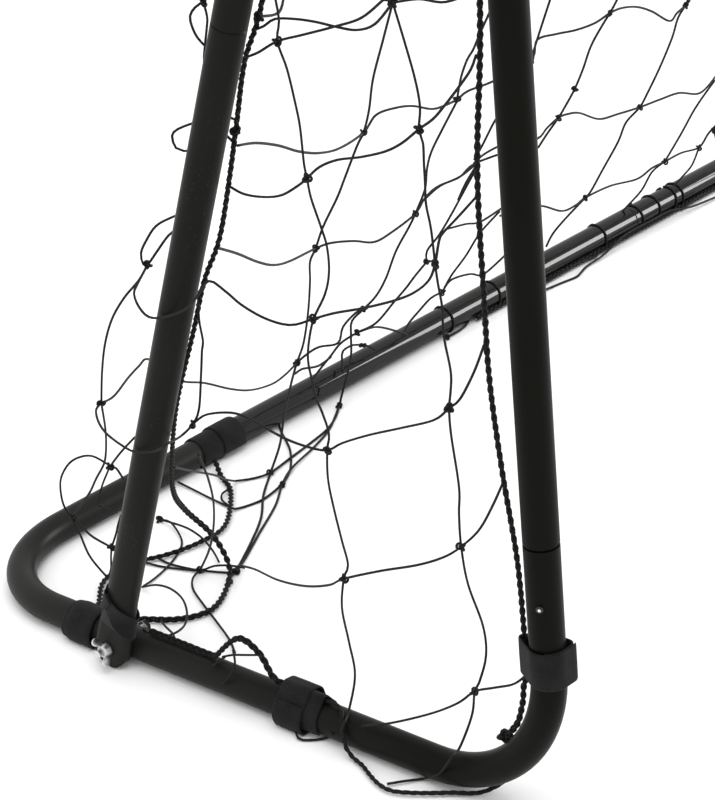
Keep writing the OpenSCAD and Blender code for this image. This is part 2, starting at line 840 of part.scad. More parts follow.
left() seam_rope();  // seam_rope_left
right() seam_rope();  // seam_rope_right
left() side_rope();  // side_rope_left
right() side_rope();  // side_rope_right
left() slack_rope();  // slack_rope_left
right() slack_rope();  // slack_rope_right
left() corner_rope();  // corner_rope_left
right() corner_rope();  // corner_rope_right
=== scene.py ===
"""Looks of the small garden goal: coated tubes, knotted net, plaited ropes, soft straps."""

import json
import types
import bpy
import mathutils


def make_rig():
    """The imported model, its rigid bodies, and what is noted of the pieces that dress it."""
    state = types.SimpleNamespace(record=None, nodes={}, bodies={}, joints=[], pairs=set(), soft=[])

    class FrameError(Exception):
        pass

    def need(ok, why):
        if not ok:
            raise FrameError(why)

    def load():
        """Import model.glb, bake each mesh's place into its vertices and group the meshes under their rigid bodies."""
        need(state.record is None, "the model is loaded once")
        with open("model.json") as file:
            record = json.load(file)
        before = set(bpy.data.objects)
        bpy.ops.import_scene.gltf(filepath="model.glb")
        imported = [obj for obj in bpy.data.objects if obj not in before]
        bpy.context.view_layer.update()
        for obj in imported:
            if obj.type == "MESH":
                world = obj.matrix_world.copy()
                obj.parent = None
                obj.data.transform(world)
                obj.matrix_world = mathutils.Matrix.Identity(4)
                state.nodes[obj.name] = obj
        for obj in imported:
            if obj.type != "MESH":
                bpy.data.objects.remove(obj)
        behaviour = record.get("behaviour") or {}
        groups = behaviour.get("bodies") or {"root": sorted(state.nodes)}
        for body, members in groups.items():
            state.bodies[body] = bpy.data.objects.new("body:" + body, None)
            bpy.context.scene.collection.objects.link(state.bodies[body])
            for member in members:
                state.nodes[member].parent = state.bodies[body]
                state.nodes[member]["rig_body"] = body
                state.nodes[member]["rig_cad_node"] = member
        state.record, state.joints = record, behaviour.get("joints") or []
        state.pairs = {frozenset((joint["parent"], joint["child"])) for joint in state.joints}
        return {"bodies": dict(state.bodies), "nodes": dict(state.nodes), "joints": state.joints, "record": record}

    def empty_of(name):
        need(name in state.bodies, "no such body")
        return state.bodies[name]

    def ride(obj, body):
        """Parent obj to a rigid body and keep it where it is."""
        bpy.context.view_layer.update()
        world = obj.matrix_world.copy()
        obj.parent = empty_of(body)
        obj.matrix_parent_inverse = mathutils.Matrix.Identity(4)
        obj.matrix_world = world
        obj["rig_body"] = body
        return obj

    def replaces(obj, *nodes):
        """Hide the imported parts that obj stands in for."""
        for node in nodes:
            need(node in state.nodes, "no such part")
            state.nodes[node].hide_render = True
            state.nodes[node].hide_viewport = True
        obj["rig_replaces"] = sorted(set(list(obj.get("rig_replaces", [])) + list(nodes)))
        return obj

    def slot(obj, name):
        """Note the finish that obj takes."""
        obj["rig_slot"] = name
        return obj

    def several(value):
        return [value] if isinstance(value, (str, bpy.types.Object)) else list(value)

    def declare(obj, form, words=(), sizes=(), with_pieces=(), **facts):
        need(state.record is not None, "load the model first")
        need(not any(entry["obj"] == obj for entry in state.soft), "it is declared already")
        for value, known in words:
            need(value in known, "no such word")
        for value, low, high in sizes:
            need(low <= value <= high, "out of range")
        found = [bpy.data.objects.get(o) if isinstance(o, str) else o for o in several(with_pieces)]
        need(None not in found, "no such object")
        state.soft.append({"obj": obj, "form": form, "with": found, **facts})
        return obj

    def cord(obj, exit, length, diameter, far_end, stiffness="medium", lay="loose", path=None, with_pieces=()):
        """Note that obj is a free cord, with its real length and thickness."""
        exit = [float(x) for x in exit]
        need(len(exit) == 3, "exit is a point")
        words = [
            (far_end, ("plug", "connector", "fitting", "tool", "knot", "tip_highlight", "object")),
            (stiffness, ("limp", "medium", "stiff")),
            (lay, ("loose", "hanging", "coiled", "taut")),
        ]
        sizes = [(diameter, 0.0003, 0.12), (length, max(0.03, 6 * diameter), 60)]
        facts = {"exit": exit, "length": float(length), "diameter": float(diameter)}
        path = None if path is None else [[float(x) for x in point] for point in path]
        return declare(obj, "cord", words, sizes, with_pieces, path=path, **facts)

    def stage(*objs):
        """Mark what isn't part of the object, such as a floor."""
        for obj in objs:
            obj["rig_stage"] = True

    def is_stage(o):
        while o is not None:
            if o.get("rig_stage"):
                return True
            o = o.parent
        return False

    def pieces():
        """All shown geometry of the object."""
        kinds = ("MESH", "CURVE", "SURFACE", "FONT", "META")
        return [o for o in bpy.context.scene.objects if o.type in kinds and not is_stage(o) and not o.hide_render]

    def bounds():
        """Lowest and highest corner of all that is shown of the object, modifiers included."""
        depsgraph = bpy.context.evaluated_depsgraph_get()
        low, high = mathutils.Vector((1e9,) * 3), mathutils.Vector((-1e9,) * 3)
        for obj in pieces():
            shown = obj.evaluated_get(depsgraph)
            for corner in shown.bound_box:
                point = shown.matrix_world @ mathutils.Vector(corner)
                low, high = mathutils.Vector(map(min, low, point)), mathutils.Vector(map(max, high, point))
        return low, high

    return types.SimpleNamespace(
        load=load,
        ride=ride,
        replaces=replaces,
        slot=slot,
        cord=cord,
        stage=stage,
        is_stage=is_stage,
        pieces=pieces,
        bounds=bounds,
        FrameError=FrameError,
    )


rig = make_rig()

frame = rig.load()

import json
import math
import random

import bmesh
import bpy
from mathutils import Matrix, Vector
from mathutils.bvhtree import BVHTree

cad_low, cad_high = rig.bounds()

# ---------- Sizes, in millimetres ----------
# Side pieces are given in the left side's own frame: x inwards from the side's plane,
# y backwards from the front post, z up from the ground.
MM = 0.001
SIDE_X = 902.5
FRONT_Y = 304.0
SPAN = 2 * SIDE_X
REAR_Y = 608.0
TUBE_R = 12.5
CROSSBAR_Z = 1207.5
TOP_R = 60.0
ELBOW_R = 110.0

ROPE_D = 5.0
ROPE_OFF = 15.4
PLAIT_SWING = 1.55
PLAIT_LIFT = 1.0
PLAIT_STRAND_R = 1.1
TIGHT = 0.4
PLAIT_PITCH = 20.0
TWINE_R = 0.95
BACK_TWINE_R = 1.1
KNOT_R = 3.2
KNOT_TWINE_R = 1.0
TWINE_STEP = 4.0
ROPE_STEP = 1.2
ROPE_KNOT = (3.3, 1.4)
TIE_KNOT = (4.0, 1.6)
FRONT_TIE = (2.5, 45.5, 55)

STRAP_IN = 12.75
STRAP_T = 1.5
STRAP_LOW = STRAP_T + 0.1
STRAP_W = 28.0
POST_STRAP_H = 130.0
POST_ROPE_SLACK = 4.0
SIDE_STRAP_Y = 238.0
FOOT_STRAP_Y = 470.0
REAR_STRAP_X = 276.0
REAR_TAIL_X = 299.8
CROSSBAR_STRAPS = 5

STRUT_OFF = 18.8
NUT_SEAT = 25.1
FOOT_Y = 418.0
FOOT_BOLT_H = 17.0
TOP_BOLT_H = 1130.0
STRUT_LEAN = math.atan2(FOOT_Y, TOP_BOLT_H - FOOT_BOLT_H)

NET_TOP_Y = 21.3
NET_LOW = (600.6, 27.7)

# ---------- Camera ----------
CAMERA_AT = (-2.13306, -1.32536, 1.07526)
CAMERA_YAW = math.radians(43.67)
CAMERA_DOWN = math.radians(24.92)
CAMERA_ROLL = -0.0893
LENS = 124.83
SENSOR = 36.0
PICTURE = (715, 800)


def camera_axes():
    """Right, up and forward directions of the camera."""
    flat = Vector((math.cos(CAMERA_YAW), math.sin(CAMERA_YAW), 0))
    forward = flat * math.cos(CAMERA_DOWN) - Vector((0, 0, math.sin(CAMERA_DOWN)))
    level = Vector((math.sin(CAMERA_YAW), -math.cos(CAMERA_YAW), 0))
    upright = level.cross(forward)
    c, s = math.cos(CAMERA_ROLL), math.sin(CAMERA_ROLL)
    return c * level + s * upright, c * upright - s * level, forward


RIGHT, UP, FORWARD = camera_axes()


def add_camera():
    data = bpy.data.cameras.new("camera")
    data.lens = LENS
    data.sensor_width = SENSOR
    data.clip_start = 0.05
    data.clip_end = 50
    camera = bpy.data.objects.new("camera", data)
    turn = Matrix((RIGHT, UP, -FORWARD)).transposed().to_4x4()
    camera.matrix_world = Matrix.Translation(CAMERA_AT) @ turn
    bpy.context.scene.collection.objects.link(camera)
    bpy.context.scene.camera = camera


add_camera()


# ---------- Places ----------
def on_left(p):
    return Vector((p[0] - SIDE_X, p[1] - FRONT_Y, p[2])) * MM


def on_right(p):
    return Vector((SIDE_X - p[0], p[1] - FRONT_Y, p[2])) * MM


SIDES = {"left": on_left, "right": on_right}


def curve_at(a, b, c, d, t):
    return 0.5 * (2 * b + (c - a) * t + (2 * a - 5 * b + 4 * c - d) * t * t
                  + (3 * b - a - 3 * c + d) * t * t * t)


def smooth(points, step):
    """Catmull-Rom curve through the points, sampled about every `step`."""
    p = [Vector(q) for q in points]
    line = []
    for i in range(len(p) - 1):
        b, c = p[i], p[i + 1]
        a = p[i - 1] if i else b
        d = p[i + 2] if i + 2 < len(p) else c
        n = max(1, round((c - b).length / step))
        line += [curve_at(a, b, c, d, k / n) for k in range(n)]
    return line + [p[-1]]


def evenly(line, step):
    """The same line with its points an equal distance apart."""
    total = sum((b - a).length for a, b in zip(line, line[1:]))
    n = max(2, round(total / step))
    gap = total / n
    out, run = [line[0].copy()], 0.0
    for a, b in zip(line, line[1:]):
        d = (b - a).length
        while run + d >= gap * len(out) and len(out) < n and d > 0:
            out.append(a.lerp(b, (gap * len(out) - run) / d))
        run += d
    return out + [line[-1].copy()]


def length_of(line):
    return sum((b - a).length for a, b in zip(line, line[1:]))


# ---------- Meshes ----------
class Mesh:
    """A bmesh with a lay map: u round or across a piece, v along it, in metres."""

    def __init__(self):
        self.bm = bmesh.new()
        self.lay = self.bm.loops.layers.uv.new("Lay")

    def face(self, verts, uvs):
        f = self.bm.faces.new(verts)
        f.smooth = True
        for loop, uv in zip(f.loops, uvs):
            loop[self.lay].uv = uv

    def sweep(self, line, section, frames):
        """Closed section swept along a line; section is [(across, out), ...]."""
        n, rings, v, vs = len(section), [], 0.0, []
        for i, p in enumerate(line):
            side, out = frames[i]
            rings.append([self.bm.verts.new(p + (side * a + out * o)) for a, o in section])
            v += (p - line[i - 1]).length if i else 0.0
            vs.append(v)
        for i in range(len(line) - 1):
            for k in range(n):
                j = (k + 1) % n
                self.face((rings[i][k], rings[i][j], rings[i + 1][j], rings[i + 1][k]),
                          ((k / n, vs[i]), ((k + 1) / n, vs[i]),
                           ((k + 1) / n, vs[i + 1]), (k / n, vs[i + 1])))
        for ring, v in ((list(reversed(rings[0])), vs[0]), (rings[-1], vs[-1])):
            self.face(ring, [(0.5, v)] * n)

    def cord(self, line, radius, sides=6):
        """Round cord along a line, in metres."""
        section = [(radius * math.cos(2 * math.pi * k / sides),
                    radius * math.sin(2 * math.pi * k / sides)) for k in range(sides)]
        self.sweep(line, section, rolling_frames(line))

    def object(self, name, finish, slot, body="root"):
        bmesh.ops.recalc_face_normals(self.bm, faces=self.bm.faces)
        mesh = bpy.data.meshes.new(name)
        self.bm.to_mesh(mesh)
        self.bm.free()
        mesh.materials.append(finish)
        piece = bpy.data.objects.new(name, mesh)
        bpy.context.scene.collection.objects.link(piece)
        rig.ride(piece, body)
        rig.slot(piece, slot)
        return piece


def rolling_frames(line):
    """Side and out directions that turn as little as they can along a line."""
    frames, side = [], None
    for i in range(len(line)):
        t = line[min(i + 1, len(line) - 1)] - line[max(i - 1, 0)]
        t = t.normalized() if t.length > 1e-9 else Vector((0, 0, 1))
        if side is None:
            side = t.orthogonal().normalized()
        side = (side - t * side.dot(t))
        side = side.normalized() if side.length > 1e-6 else t.orthogonal().normalized()
        frames.append((side, t.cross(side)))
    return frames


def plait(mesh, line, loose=1.0):
    """Three strands plaited about a line of evenly spaced points, in metres."""
    frames = rolling_frames(line)
    for strand in range(3):
        run, path = 0.0, []
        for i, p in enumerate(line):
            run += (p - line[i - 1]).length if i else 0.0
            phase = 2 * math.pi * (run / (PLAIT_PITCH * MM) + strand / 3)
            side, out = frames[i]
            path.append(p + side * PLAIT_SWING * loose * MM * math.sin(phase)
                        + out * PLAIT_LIFT * loose * MM * math.sin(2 * phase))
        mesh.cord(path, PLAIT_STRAND_R * MM, 7)


def knot(mesh, centre, size, dice, radius=TWINE_R):
    """Small overhand knot, size in millimetres."""
    turn = Matrix.Rotation(dice.uniform(0, 6.28), 3, Vector((dice.gauss(0, 1), 1, 0.4)))
    points = []
    for k in range(25):
        t = 2 * math.pi * k / 24
        p = Vector((math.sin(t) + 2 * math.sin(2 * t), math.cos(t) - 2 * math.cos(2 * t),
                    -1.3 * math.sin(3 * t)))
        points.append(centre + turn @ p * (size / 3 * MM))
    mesh.cord(points, radius * MM, 6)


# ---------- Finishes ----------
class Wire:
    """A node's output that does its own arithmetic."""

    def __init__(self, finish, socket):
        self.finish = finish
        self.socket = socket

    def work(self, operation, a, b=0.0):
        return self.finish.add("ShaderNodeMath", {"operation": operation}, {0: a, 1: b})

    def __add__(self, other):
        return self.work("ADD", self, other)

    def __mul__(self, other):
        return self.work("MULTIPLY", self, other)

    def sine(self):
        return self.work("SINE", self)

    def above(self, level):
        return self.work("GREATER_THAN", self, level)


class Finish:
    """A material under construction."""

    def __init__(self, name):
        self.material = bpy.data.materials.new(name)
        self.material.use_nodes = True
        self.tree = self.material.node_tree
        self.tree.nodes.clear()

    def add(self, kind, settings=None, sockets=None, out=0):
        node = self.tree.nodes.new(kind)
        for key, value in (settings or {}).items():
            setattr(node, key, value)
        for key, value in (sockets or {}).items():
            if isinstance(value, Wire):
                self.tree.links.new(value.socket, node.inputs[key])
            else:
                node.inputs[key].default_value = value
        return Wire(self, node.outputs[out])

    def place(self):
        return self.add("ShaderNodeTexCoord", out=3)

    def along_y(self):
        parts = self.add("ShaderNodeSeparateXYZ", None, {0: self.place()})
        return Wire(self, parts.socket.node.outputs[1])

    def lay(self):
        uv = self.add("ShaderNodeUVMap", {"uv_map": "Lay"})
        u = self.add("ShaderNodeSeparateXYZ", None, {0: uv})
        return u, Wire(self, u.socket.node.outputs[1])

    def noise(self, per_metre, detail=2.0, roughness=0.5):
        return self.add("ShaderNodeTexNoise", None,
                        {"Vector": self.place(), "Scale": per_metre, "Detail": detail,
                         "Roughness": roughness})

    def ramp(self, value, low, high, dark=0.0, light=1.0):
        return self.add("ShaderNodeMapRange", None,
                        {0: value, 1: low, 2: high, 3: dark, 4: light})

    def blend(self, mask, a, b):
        return self.add("ShaderNodeMix", {"data_type": "RGBA"},
                        {0: mask, 6: (*a, 1) if isinstance(a, tuple) else a,
                         7: (*b, 1) if isinstance(b, tuple) else b}, out=2)

    def bump(self, height, strength, distance):
        return self.add("ShaderNodeBump", None,
                        {"Strength": strength, "Distance": distance, "Height": height})

    def close(self, sockets):
        shader = self.add("ShaderNodeBsdfPrincipled", None, sockets)
        output = self.tree.nodes.new("ShaderNodeOutputMaterial")
        self.tree.links.new(shader.socket, output.inputs["Surface"])
        return self.material


def powder_coat(name="powder_coat", back_light_tone=0.021, gloss=None):
    """Black powder coating: orange peel, mottling and specks, with painted light that turns it lighter further back.
    """
    f = Finish(name)
    mottle = f.noise(14, 3)
    peel = f.noise(900, 2)
    grain = f.noise(3200, 1)
    cells = f.add("ShaderNodeTexVoronoi", None, {"Vector": f.place(), "Scale": 330.0})
    patches = f.ramp(f.noise(9, 1), 0.58, 0.72)
    dust = f.ramp(cells, 0.13, 0.05) * patches
    base = f.blend(mottle, (0.0030, 0.0034, 0.0020), (0.0052, 0.0056, 0.0040))
    # Painted light: the base colour turns lighter towards the back in patches, standing in for how light falls on the
    # far tubes.
    backwards = f.ramp(f.along_y(), -0.22, 0.2)
    painted_back_light = backwards * f.ramp(f.noise(5, 2), 0.3, 0.6, 0.45, 1.0)
    back_lit_base = f.blend(painted_back_light, base, (back_light_tone, back_light_tone, 0.95 * back_light_tone))
    return f.close({
        "Base Color": f.blend(dust * 0.35, back_lit_base, (0.22, 0.21, 0.19)),
        "Roughness": f.ramp(mottle, 0.3, 0.7, 0.33, 0.43) + dust * 0.3,
        "Specular IOR Level": 0.05,
        **(gloss or {}),
        "Normal": f.bump(peel + grain * 0.25, 0.14, 0.0002)})


ZINC_SHADES = ((0.50, 0.51, 0.52), (0.74, 0.74, 0.72))
BOLT_SHADE_X = 0.8895


def bright_zinc():
    """Zinc-plated steel: cloudy, with fine pits."""
    f = Finish("bright_zinc")
    cloud = f.noise(180, 3)
    pits = f.noise(2600, 2)
    return f.close({
        "Base Color": f.blend(cloud, *ZINC_SHADES),
        "Metallic": 1.0,
        "Roughness": f.ramp(cloud, 0.3, 0.7, 0.24, 0.42),
        "Normal": f.bump(pits, 0.18, 0.0001)})


def bolt_zinc():
    """Zinc-plated bolts whose heads, inside the goal, are painted dark as shade."""
    f = Finish("bolt_zinc")
    across = f.add("ShaderNodeSeparateXYZ", None, {0: f.place()})
    shank = (across * across).above(BOLT_SHADE_X ** 2)
    cloud = f.noise(180, 3)
    bright = f.blend(cloud, *ZINC_SHADES)
    return f.close({
        # Painted shade: the bolt heads inside the side plane are dark, standing in for the shade of the strap and rope
        # over them.
        "Base Color": f.blend(shank, (0.012, 0.012, 0.011), bright),
        "Metallic": shank,
        "Roughness": f.ramp(cloud, 0.3, 0.7, 0.26, 0.42),
        "Specular IOR Level": 0.1,
        "Normal": f.bump(f.noise(2600, 2), 0.18, 0.0001)})


def spring_steel():
    """Bare spring steel with a drawn grain."""
    f = Finish("spring_steel")
    cloud = f.noise(300, 2)
    return f.close({
        "Base Color": f.blend(cloud, (0.30, 0.30, 0.31), (0.46, 0.46, 0.46)),
        "Metallic": 1.0,
        "Roughness": f.ramp(cloud, 0.3, 0.7, 0.3, 0.45),
        "Normal": f.bump(f.noise(4000, 1), 0.1, 0.00005)})


def button_zinc(name, tip):
    """Snap button: coated black, with a bright metal spot at its tip that is a painted highlight of its dome."""
    f = Finish(name)
    away = f.add("ShaderNodeVectorMath", {"operation": "DISTANCE"},
                 {0: f.place(), 1: tip}, out=1)
    ragged = f.noise(1400, 2)
    # Painted highlight: the bright bare spot at the tip stands in for the dome's highlight.
    tip_highlight = f.ramp(away + ragged * 0.0004, 0.0014, 0.0011)
    return f.close({
        "Base Color": f.blend(tip_highlight, (0.007, 0.007, 0.006), (0.78, 0.78, 0.76)),
        "Metallic": tip_highlight,
        "Roughness": f.ramp(ragged, 0.3, 0.7, 0.28, 0.45),
        "Normal": f.bump(f.noise(2600, 2), 0.12, 0.0001)})


def strap_cloth():
    """Charcoal hook-and-loop tape: looped pile in rows, with lighter patches painted in as sheen."""
    f = Finish("strap_cloth")
    across, along = f.lay()
    pile = f.noise(1500, 3, 0.7)
    tufts = f.add("ShaderNodeTexVoronoi", None, {"Vector": f.place(), "Scale": 1100.0})
    rows = (along * (2 * math.pi / 0.0016)).sine() * 0.5 + 0.5
    tone_and_sheen_noise = f.noise(70, 2)
    shade = f.ramp(pile * 0.6 + tone_and_sheen_noise * 0.4, 0.35, 0.65)
    cloth = f.blend(shade, (0.0045, 0.0045, 0.0046), (0.015, 0.015, 0.0146))
    # Painted sheen: lighter patches in the colour stand in for the tape's sheen.
    sheen_patches = f.ramp(pile, 0.62, 0.78) * f.ramp(tone_and_sheen_noise, 0.45, 0.62)
    return f.close({
        "Base Color": f.blend(sheen_patches * 0.6, cloth, (0.05, 0.05, 0.047)),
        "Roughness": 0.85,
        "Specular IOR Level": 0.06,
        "Sheen Weight": 0.06,
        "Sheen Roughness": 0.5,
        "Normal": f.bump(pile + tufts * 0.5 + rows * 0.35, 0.55, 0.0005)})


def twine(name, dark, light, pitch):
    """Twisted black polyethylene: the twist shows as slanting ridges."""
    f = Finish(name)
    round_it, along = f.lay()
    twist = (round_it * (4 * math.pi) + along * (2 * math.pi / pitch)).sine() * 0.5 + 0.5
    fibre = f.noise(2200, 2)
    return f.close({
        "Base Color": f.blend(fibre, dark, light),
        "Roughness": f.ramp(fibre, 0.3, 0.7, 0.5, 0.68),
        "Specular IOR Level": 0.1,
        "Normal": f.bump(twist + fibre * 0.4, 0.6, 0.0003)})


def floor_paint():
    """Seamless pale studio floor."""
    f = Finish("floor_paint")
    return f.close({
        "Base Color": f.blend(f.noise(2, 2), (0.92, 0.92, 0.92), (0.94, 0.94, 0.94)),
        "Roughness": 0.7,
        "Specular IOR Level": 0.1})


COAT = powder_coat()
BAR_COAT = powder_coat("powder_coat_bar", 0.008, {"Specular IOR Level": 0.0, "Coat Weight": 0.5,
                                                "Coat Roughness": 0.05})
ZINC = bright_zinc()
BOLT = bolt_zinc()
SPRING = spring_steel()
CLOTH = strap_cloth()
NET = twine("net_twine", (0.006, 0.006, 0.006), (0.020, 0.020, 0.020), 0.003)
ROPE = twine("border_twine", (0.004, 0.004, 0.004), (0.013, 0.0125, 0.012), 0.0025)

TUBES = ("base_tube", "front_post", "top_corner", "crossbar_tube", "lower_strut",
         "upper_strut")


def tip_of(name, mesh):
    """The outermost point of a snap button, in metres."""
    inward = next(j["axis"] for j in frame["joints"] if j["name"] == name + "_press")
    return min((v.co for v in mesh.vertices), key=lambda co: co.dot(Vector(inward)))


def finish_of(name, node):
    if name.startswith("rear_bar"):
        return BAR_COAT
    if name.startswith(TUBES):
        return COAT
    if name == "button_springs":
        return SPRING
    if name == "strut_bolts":
        return BOLT
    if "button" in name:
        return button_zinc(name + "_zinc", tip_of(name, node.data))
    return ZINC


for name, node in frame["nodes"].items():
    finish = finish_of(name, node)
    for place in node.material_slots:
        place.material = finish


# ---------- Free ropes ----------
SEAM_TOP = (4, 20.6, 1167.5)
SEAM_END = (6, 212, 556)
SEAM_STEPS = 6
SEAM_TAIL = [(6, 234, 511), (6, 247, 468), (7, 262, 421), (8, 279, 374), (8, 299, 338),
             (9, 317, 295), (16, 350, 230), (36, 385, 170), (68, 425, 112),
             (105, 455, 70), (130, 453, 36), (132, 440, 12), (117, 428, 3.8), (89, 413, 3),
             (70, 413, 3), (53, 425, 3), (40, 444, 3.5), (26, 458, 6), (16.2, 464, 9)]
SLACK_ROUTE = [(0, 223, 27.9), (0, 211, 27.9), (-1, 199, 28.2), (-6, 191, 27.1),
               (-12, 186, 22.3), (-16, 182, 14.5), (-17.2, 179, 7.5), (-18.5, 172, 3.2),
               (-22, 160, 3), (-29, 146, 3), (-34.5, 132, 3), (-35, 119, 3), (-26, 102, 3),
               (-13, 84, 3), (-2, 66, 4), (12, 54, 12), (16.8, 50, 28), (14, 45, 44),
               (5.4, 43, 57.5)]
CORNER_ROUTE = [(268, 588.6, 10), (256, 570, 4), (240, 543, 3), (193, 504, 3), (160, 500, 3),
                (128, 508, 3), (96, 524, 3), (66, 520, 3), (42, 500, 3), (26, 484, 6),
                (16.2, 476, 9)]
SIDE_ROUTE = [(0, 224, 27.9), (0, 246, 27.9), (0, 253, 27.9), (-2.2, 256.8, 30),
              (-4.4, 260.2, 34.2), (-4.8, 264, 40.2), (-4.8, 269.3, 48.5), (-4.8, 278.8, 55),
              (-4.8, 285.8, 57.2), (-4.8, 292.8, 56.5), (-4.8, 302.3, 49.6),
              (-4.8, 311.8, 40.2), (-4.4, 317, 34.8), (-2.2, 322.5, 30.4), (0, 330, 27.9),
              (0, 345, 27.9), (0, 370, 27.9), (0, 395, 27.9)]


def seam_route():
    top, end = Vector(SEAM_TOP), Vector(SEAM_END)
    straight = [top.lerp(end, i / SEAM_STEPS) for i in range(SEAM_STEPS + 1)]
    return straight + [Vector(p) for p in SEAM_TAIL]


SEAM_LINE = smooth(seam_route(), 10)
SEAM_KNOTS = [next(p for p in SEAM_LINE if p.z < height) for height in (544, 464)]


def lay_rope(node, route, place, loose=1.0, knots=()):
    """Free plaited rope that stands for its CAD node."""
    line = evenly([place(p) for p in smooth(route, 6)], ROPE_STEP * MM)
    mesh = Mesh()
    plait(mesh, line, loose)
    for centre in knots:
        size, strand_r = ROPE_KNOT
        knot(mesh, place(centre), size, random.Random(node + str(centre)), strand_r)
    piece = mesh.object(node + "_plait", ROPE, "border_rope")
    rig.replaces(piece, node)
    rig.cord(piece, exit=line[0], length=length_of(line), diameter=ROPE_D * MM,
            far_end="object", stiffness="limp", lay="loose", path=line[::3] + [line[-1]])


for side, place in SIDES.items():
    lay_rope(f"seam_rope_{side}", seam_route(), place, knots=SEAM_KNOTS)
    lay_rope(f"slack_rope_{side}", SLACK_ROUTE, place, TIGHT)
    lay_rope(f"corner_rope_{side}", CORNER_ROUTE, place)


# ---------- Ropes that lie along the tubes ----------
def tied_rope(node, routes, knots=()):
    mesh = Mesh()
    for place, route in routes:
        plait(mesh, evenly([place(p) for p in route], ROPE_STEP * MM))
    for place, centre in knots:
        size, strand_r = TIE_KNOT
        knot(mesh, place(centre), size, random.Random(str(centre)), strand_r)
    piece = mesh.object(node + "_plait", ROPE, "border_rope")
    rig.replaces(piece, node)


def front_route():
    """From inside one elbow, up behind the post and to the middle of the crossbar."""
    points = []
    for turn, gap in ((43, 0), (33, 0.3), (26, 2.1), (19, 3.7), (12, 5.4)):
        r = ELBOW_R - ROPE_OFF - gap
        a = math.radians(turn)
        points.append((0, ELBOW_R - r * math.cos(a), TUBE_R + ELBOW_R - r * math.sin(a)))
    post = [(POST_STRAP_H + end * (STRAP_W / 2 + 2), POST_ROPE_SLACK) for end in (-1, 0, 1)]
    post += [(201, 6), (265, 14), (328, 19.5), (385, 19.5), (473, 18), (584, 7), (760, 3)]
    points += [(0, ROPE_OFF + gap, height) for height, gap in post]
    line = smooth(points, 6)
    for turn in range(0, 91, 15):
        a = math.radians(turn)
        line.append(Vector((TOP_R * (1 - math.cos(a)), ROPE_OFF,
                            CROSSBAR_Z - TOP_R + TOP_R * math.sin(a))))
    return line + [Vector((SPAN / 2, ROPE_OFF, CROSSBAR_Z))]


FRONT_ROUTE = front_route()
tied_rope("front_rope", [(place, FRONT_ROUTE) for place in SIDES.values()],
          [(place, FRONT_TIE) for place in SIDES.values()])

REAR_ROPE_L = 525
DROOP = math.radians(34)
REAR_ROPE_AT = (REAR_Y - ROPE_OFF * math.cos(DROOP), TUBE_R - ROPE_OFF * math.sin(DROOP))
tied_rope("rear_rope", [(on_left, [Vector((SPAN / 2 + end * REAR_ROPE_L / 2, *REAR_ROPE_AT))
                                   for end in (-1, 1)])])
for side, place in SIDES.items():
    tied_rope(f"side_rope_{side}", [(place, smooth(SIDE_ROUTE, 3))])


# ---------- Net ----------
EYE = Vector(CAMERA_AT) / MM + Vector((SIDE_X, FRONT_Y, 0))
FOCAL = LENS / SENSOR * max(PICTURE)


def plane_point(plane, ray):
    """Where a ray from the camera meets one of the net's planes, in the left frame."""
    if plane == "back":
        down = Vector((0, NET_LOW[0] - NET_TOP_Y, NET_LOW[1] - CROSSBAR_Z))
        normal, on = down.cross(Vector((1, 0, 0))), Vector((0, NET_TOP_Y, CROSSBAR_Z))
    elif plane == "floor":
        normal, on = Vector((0, 0, 1)), Vector((0, 0, 2))
    elif plane == "bar":
        normal, on = Vector((0, 1, 0)), Vector((0, 592, 0))
    elif plane == "lid":
        normal, on = Vector((0, 0, 1)), Vector((0, 0, 26.5))
    else:
        across = {"side": 0.0, "seam": 6.0, "outer": -34.0, "face": -14.0, "corner": 65.0}
        normal, on = Vector((1, 0, 0)), Vector((across[plane], 0, 0))
    far = (on - EYE).dot(normal) / ray.dot(normal)
    return EYE + ray * far


def view_ray(x, y):
    return (FORWARD + RIGHT * ((x - PICTURE[0] / 2) / FOCAL)
            - UP * ((y - PICTURE[1] / 2) / FOCAL))


def above_view(p):
    """Whether a point of the left frame stands above the view or right of it."""
    d = Vector(p) - EYE
    x = PICTURE[0] / 2 + FOCAL * d.dot(RIGHT) / d.dot(FORWARD)
    y = PICTURE[1] / 2 - FOCAL * d.dot(UP) / d.dot(FORWARD)
    return y < -5 or x > PICTURE[0] + 5


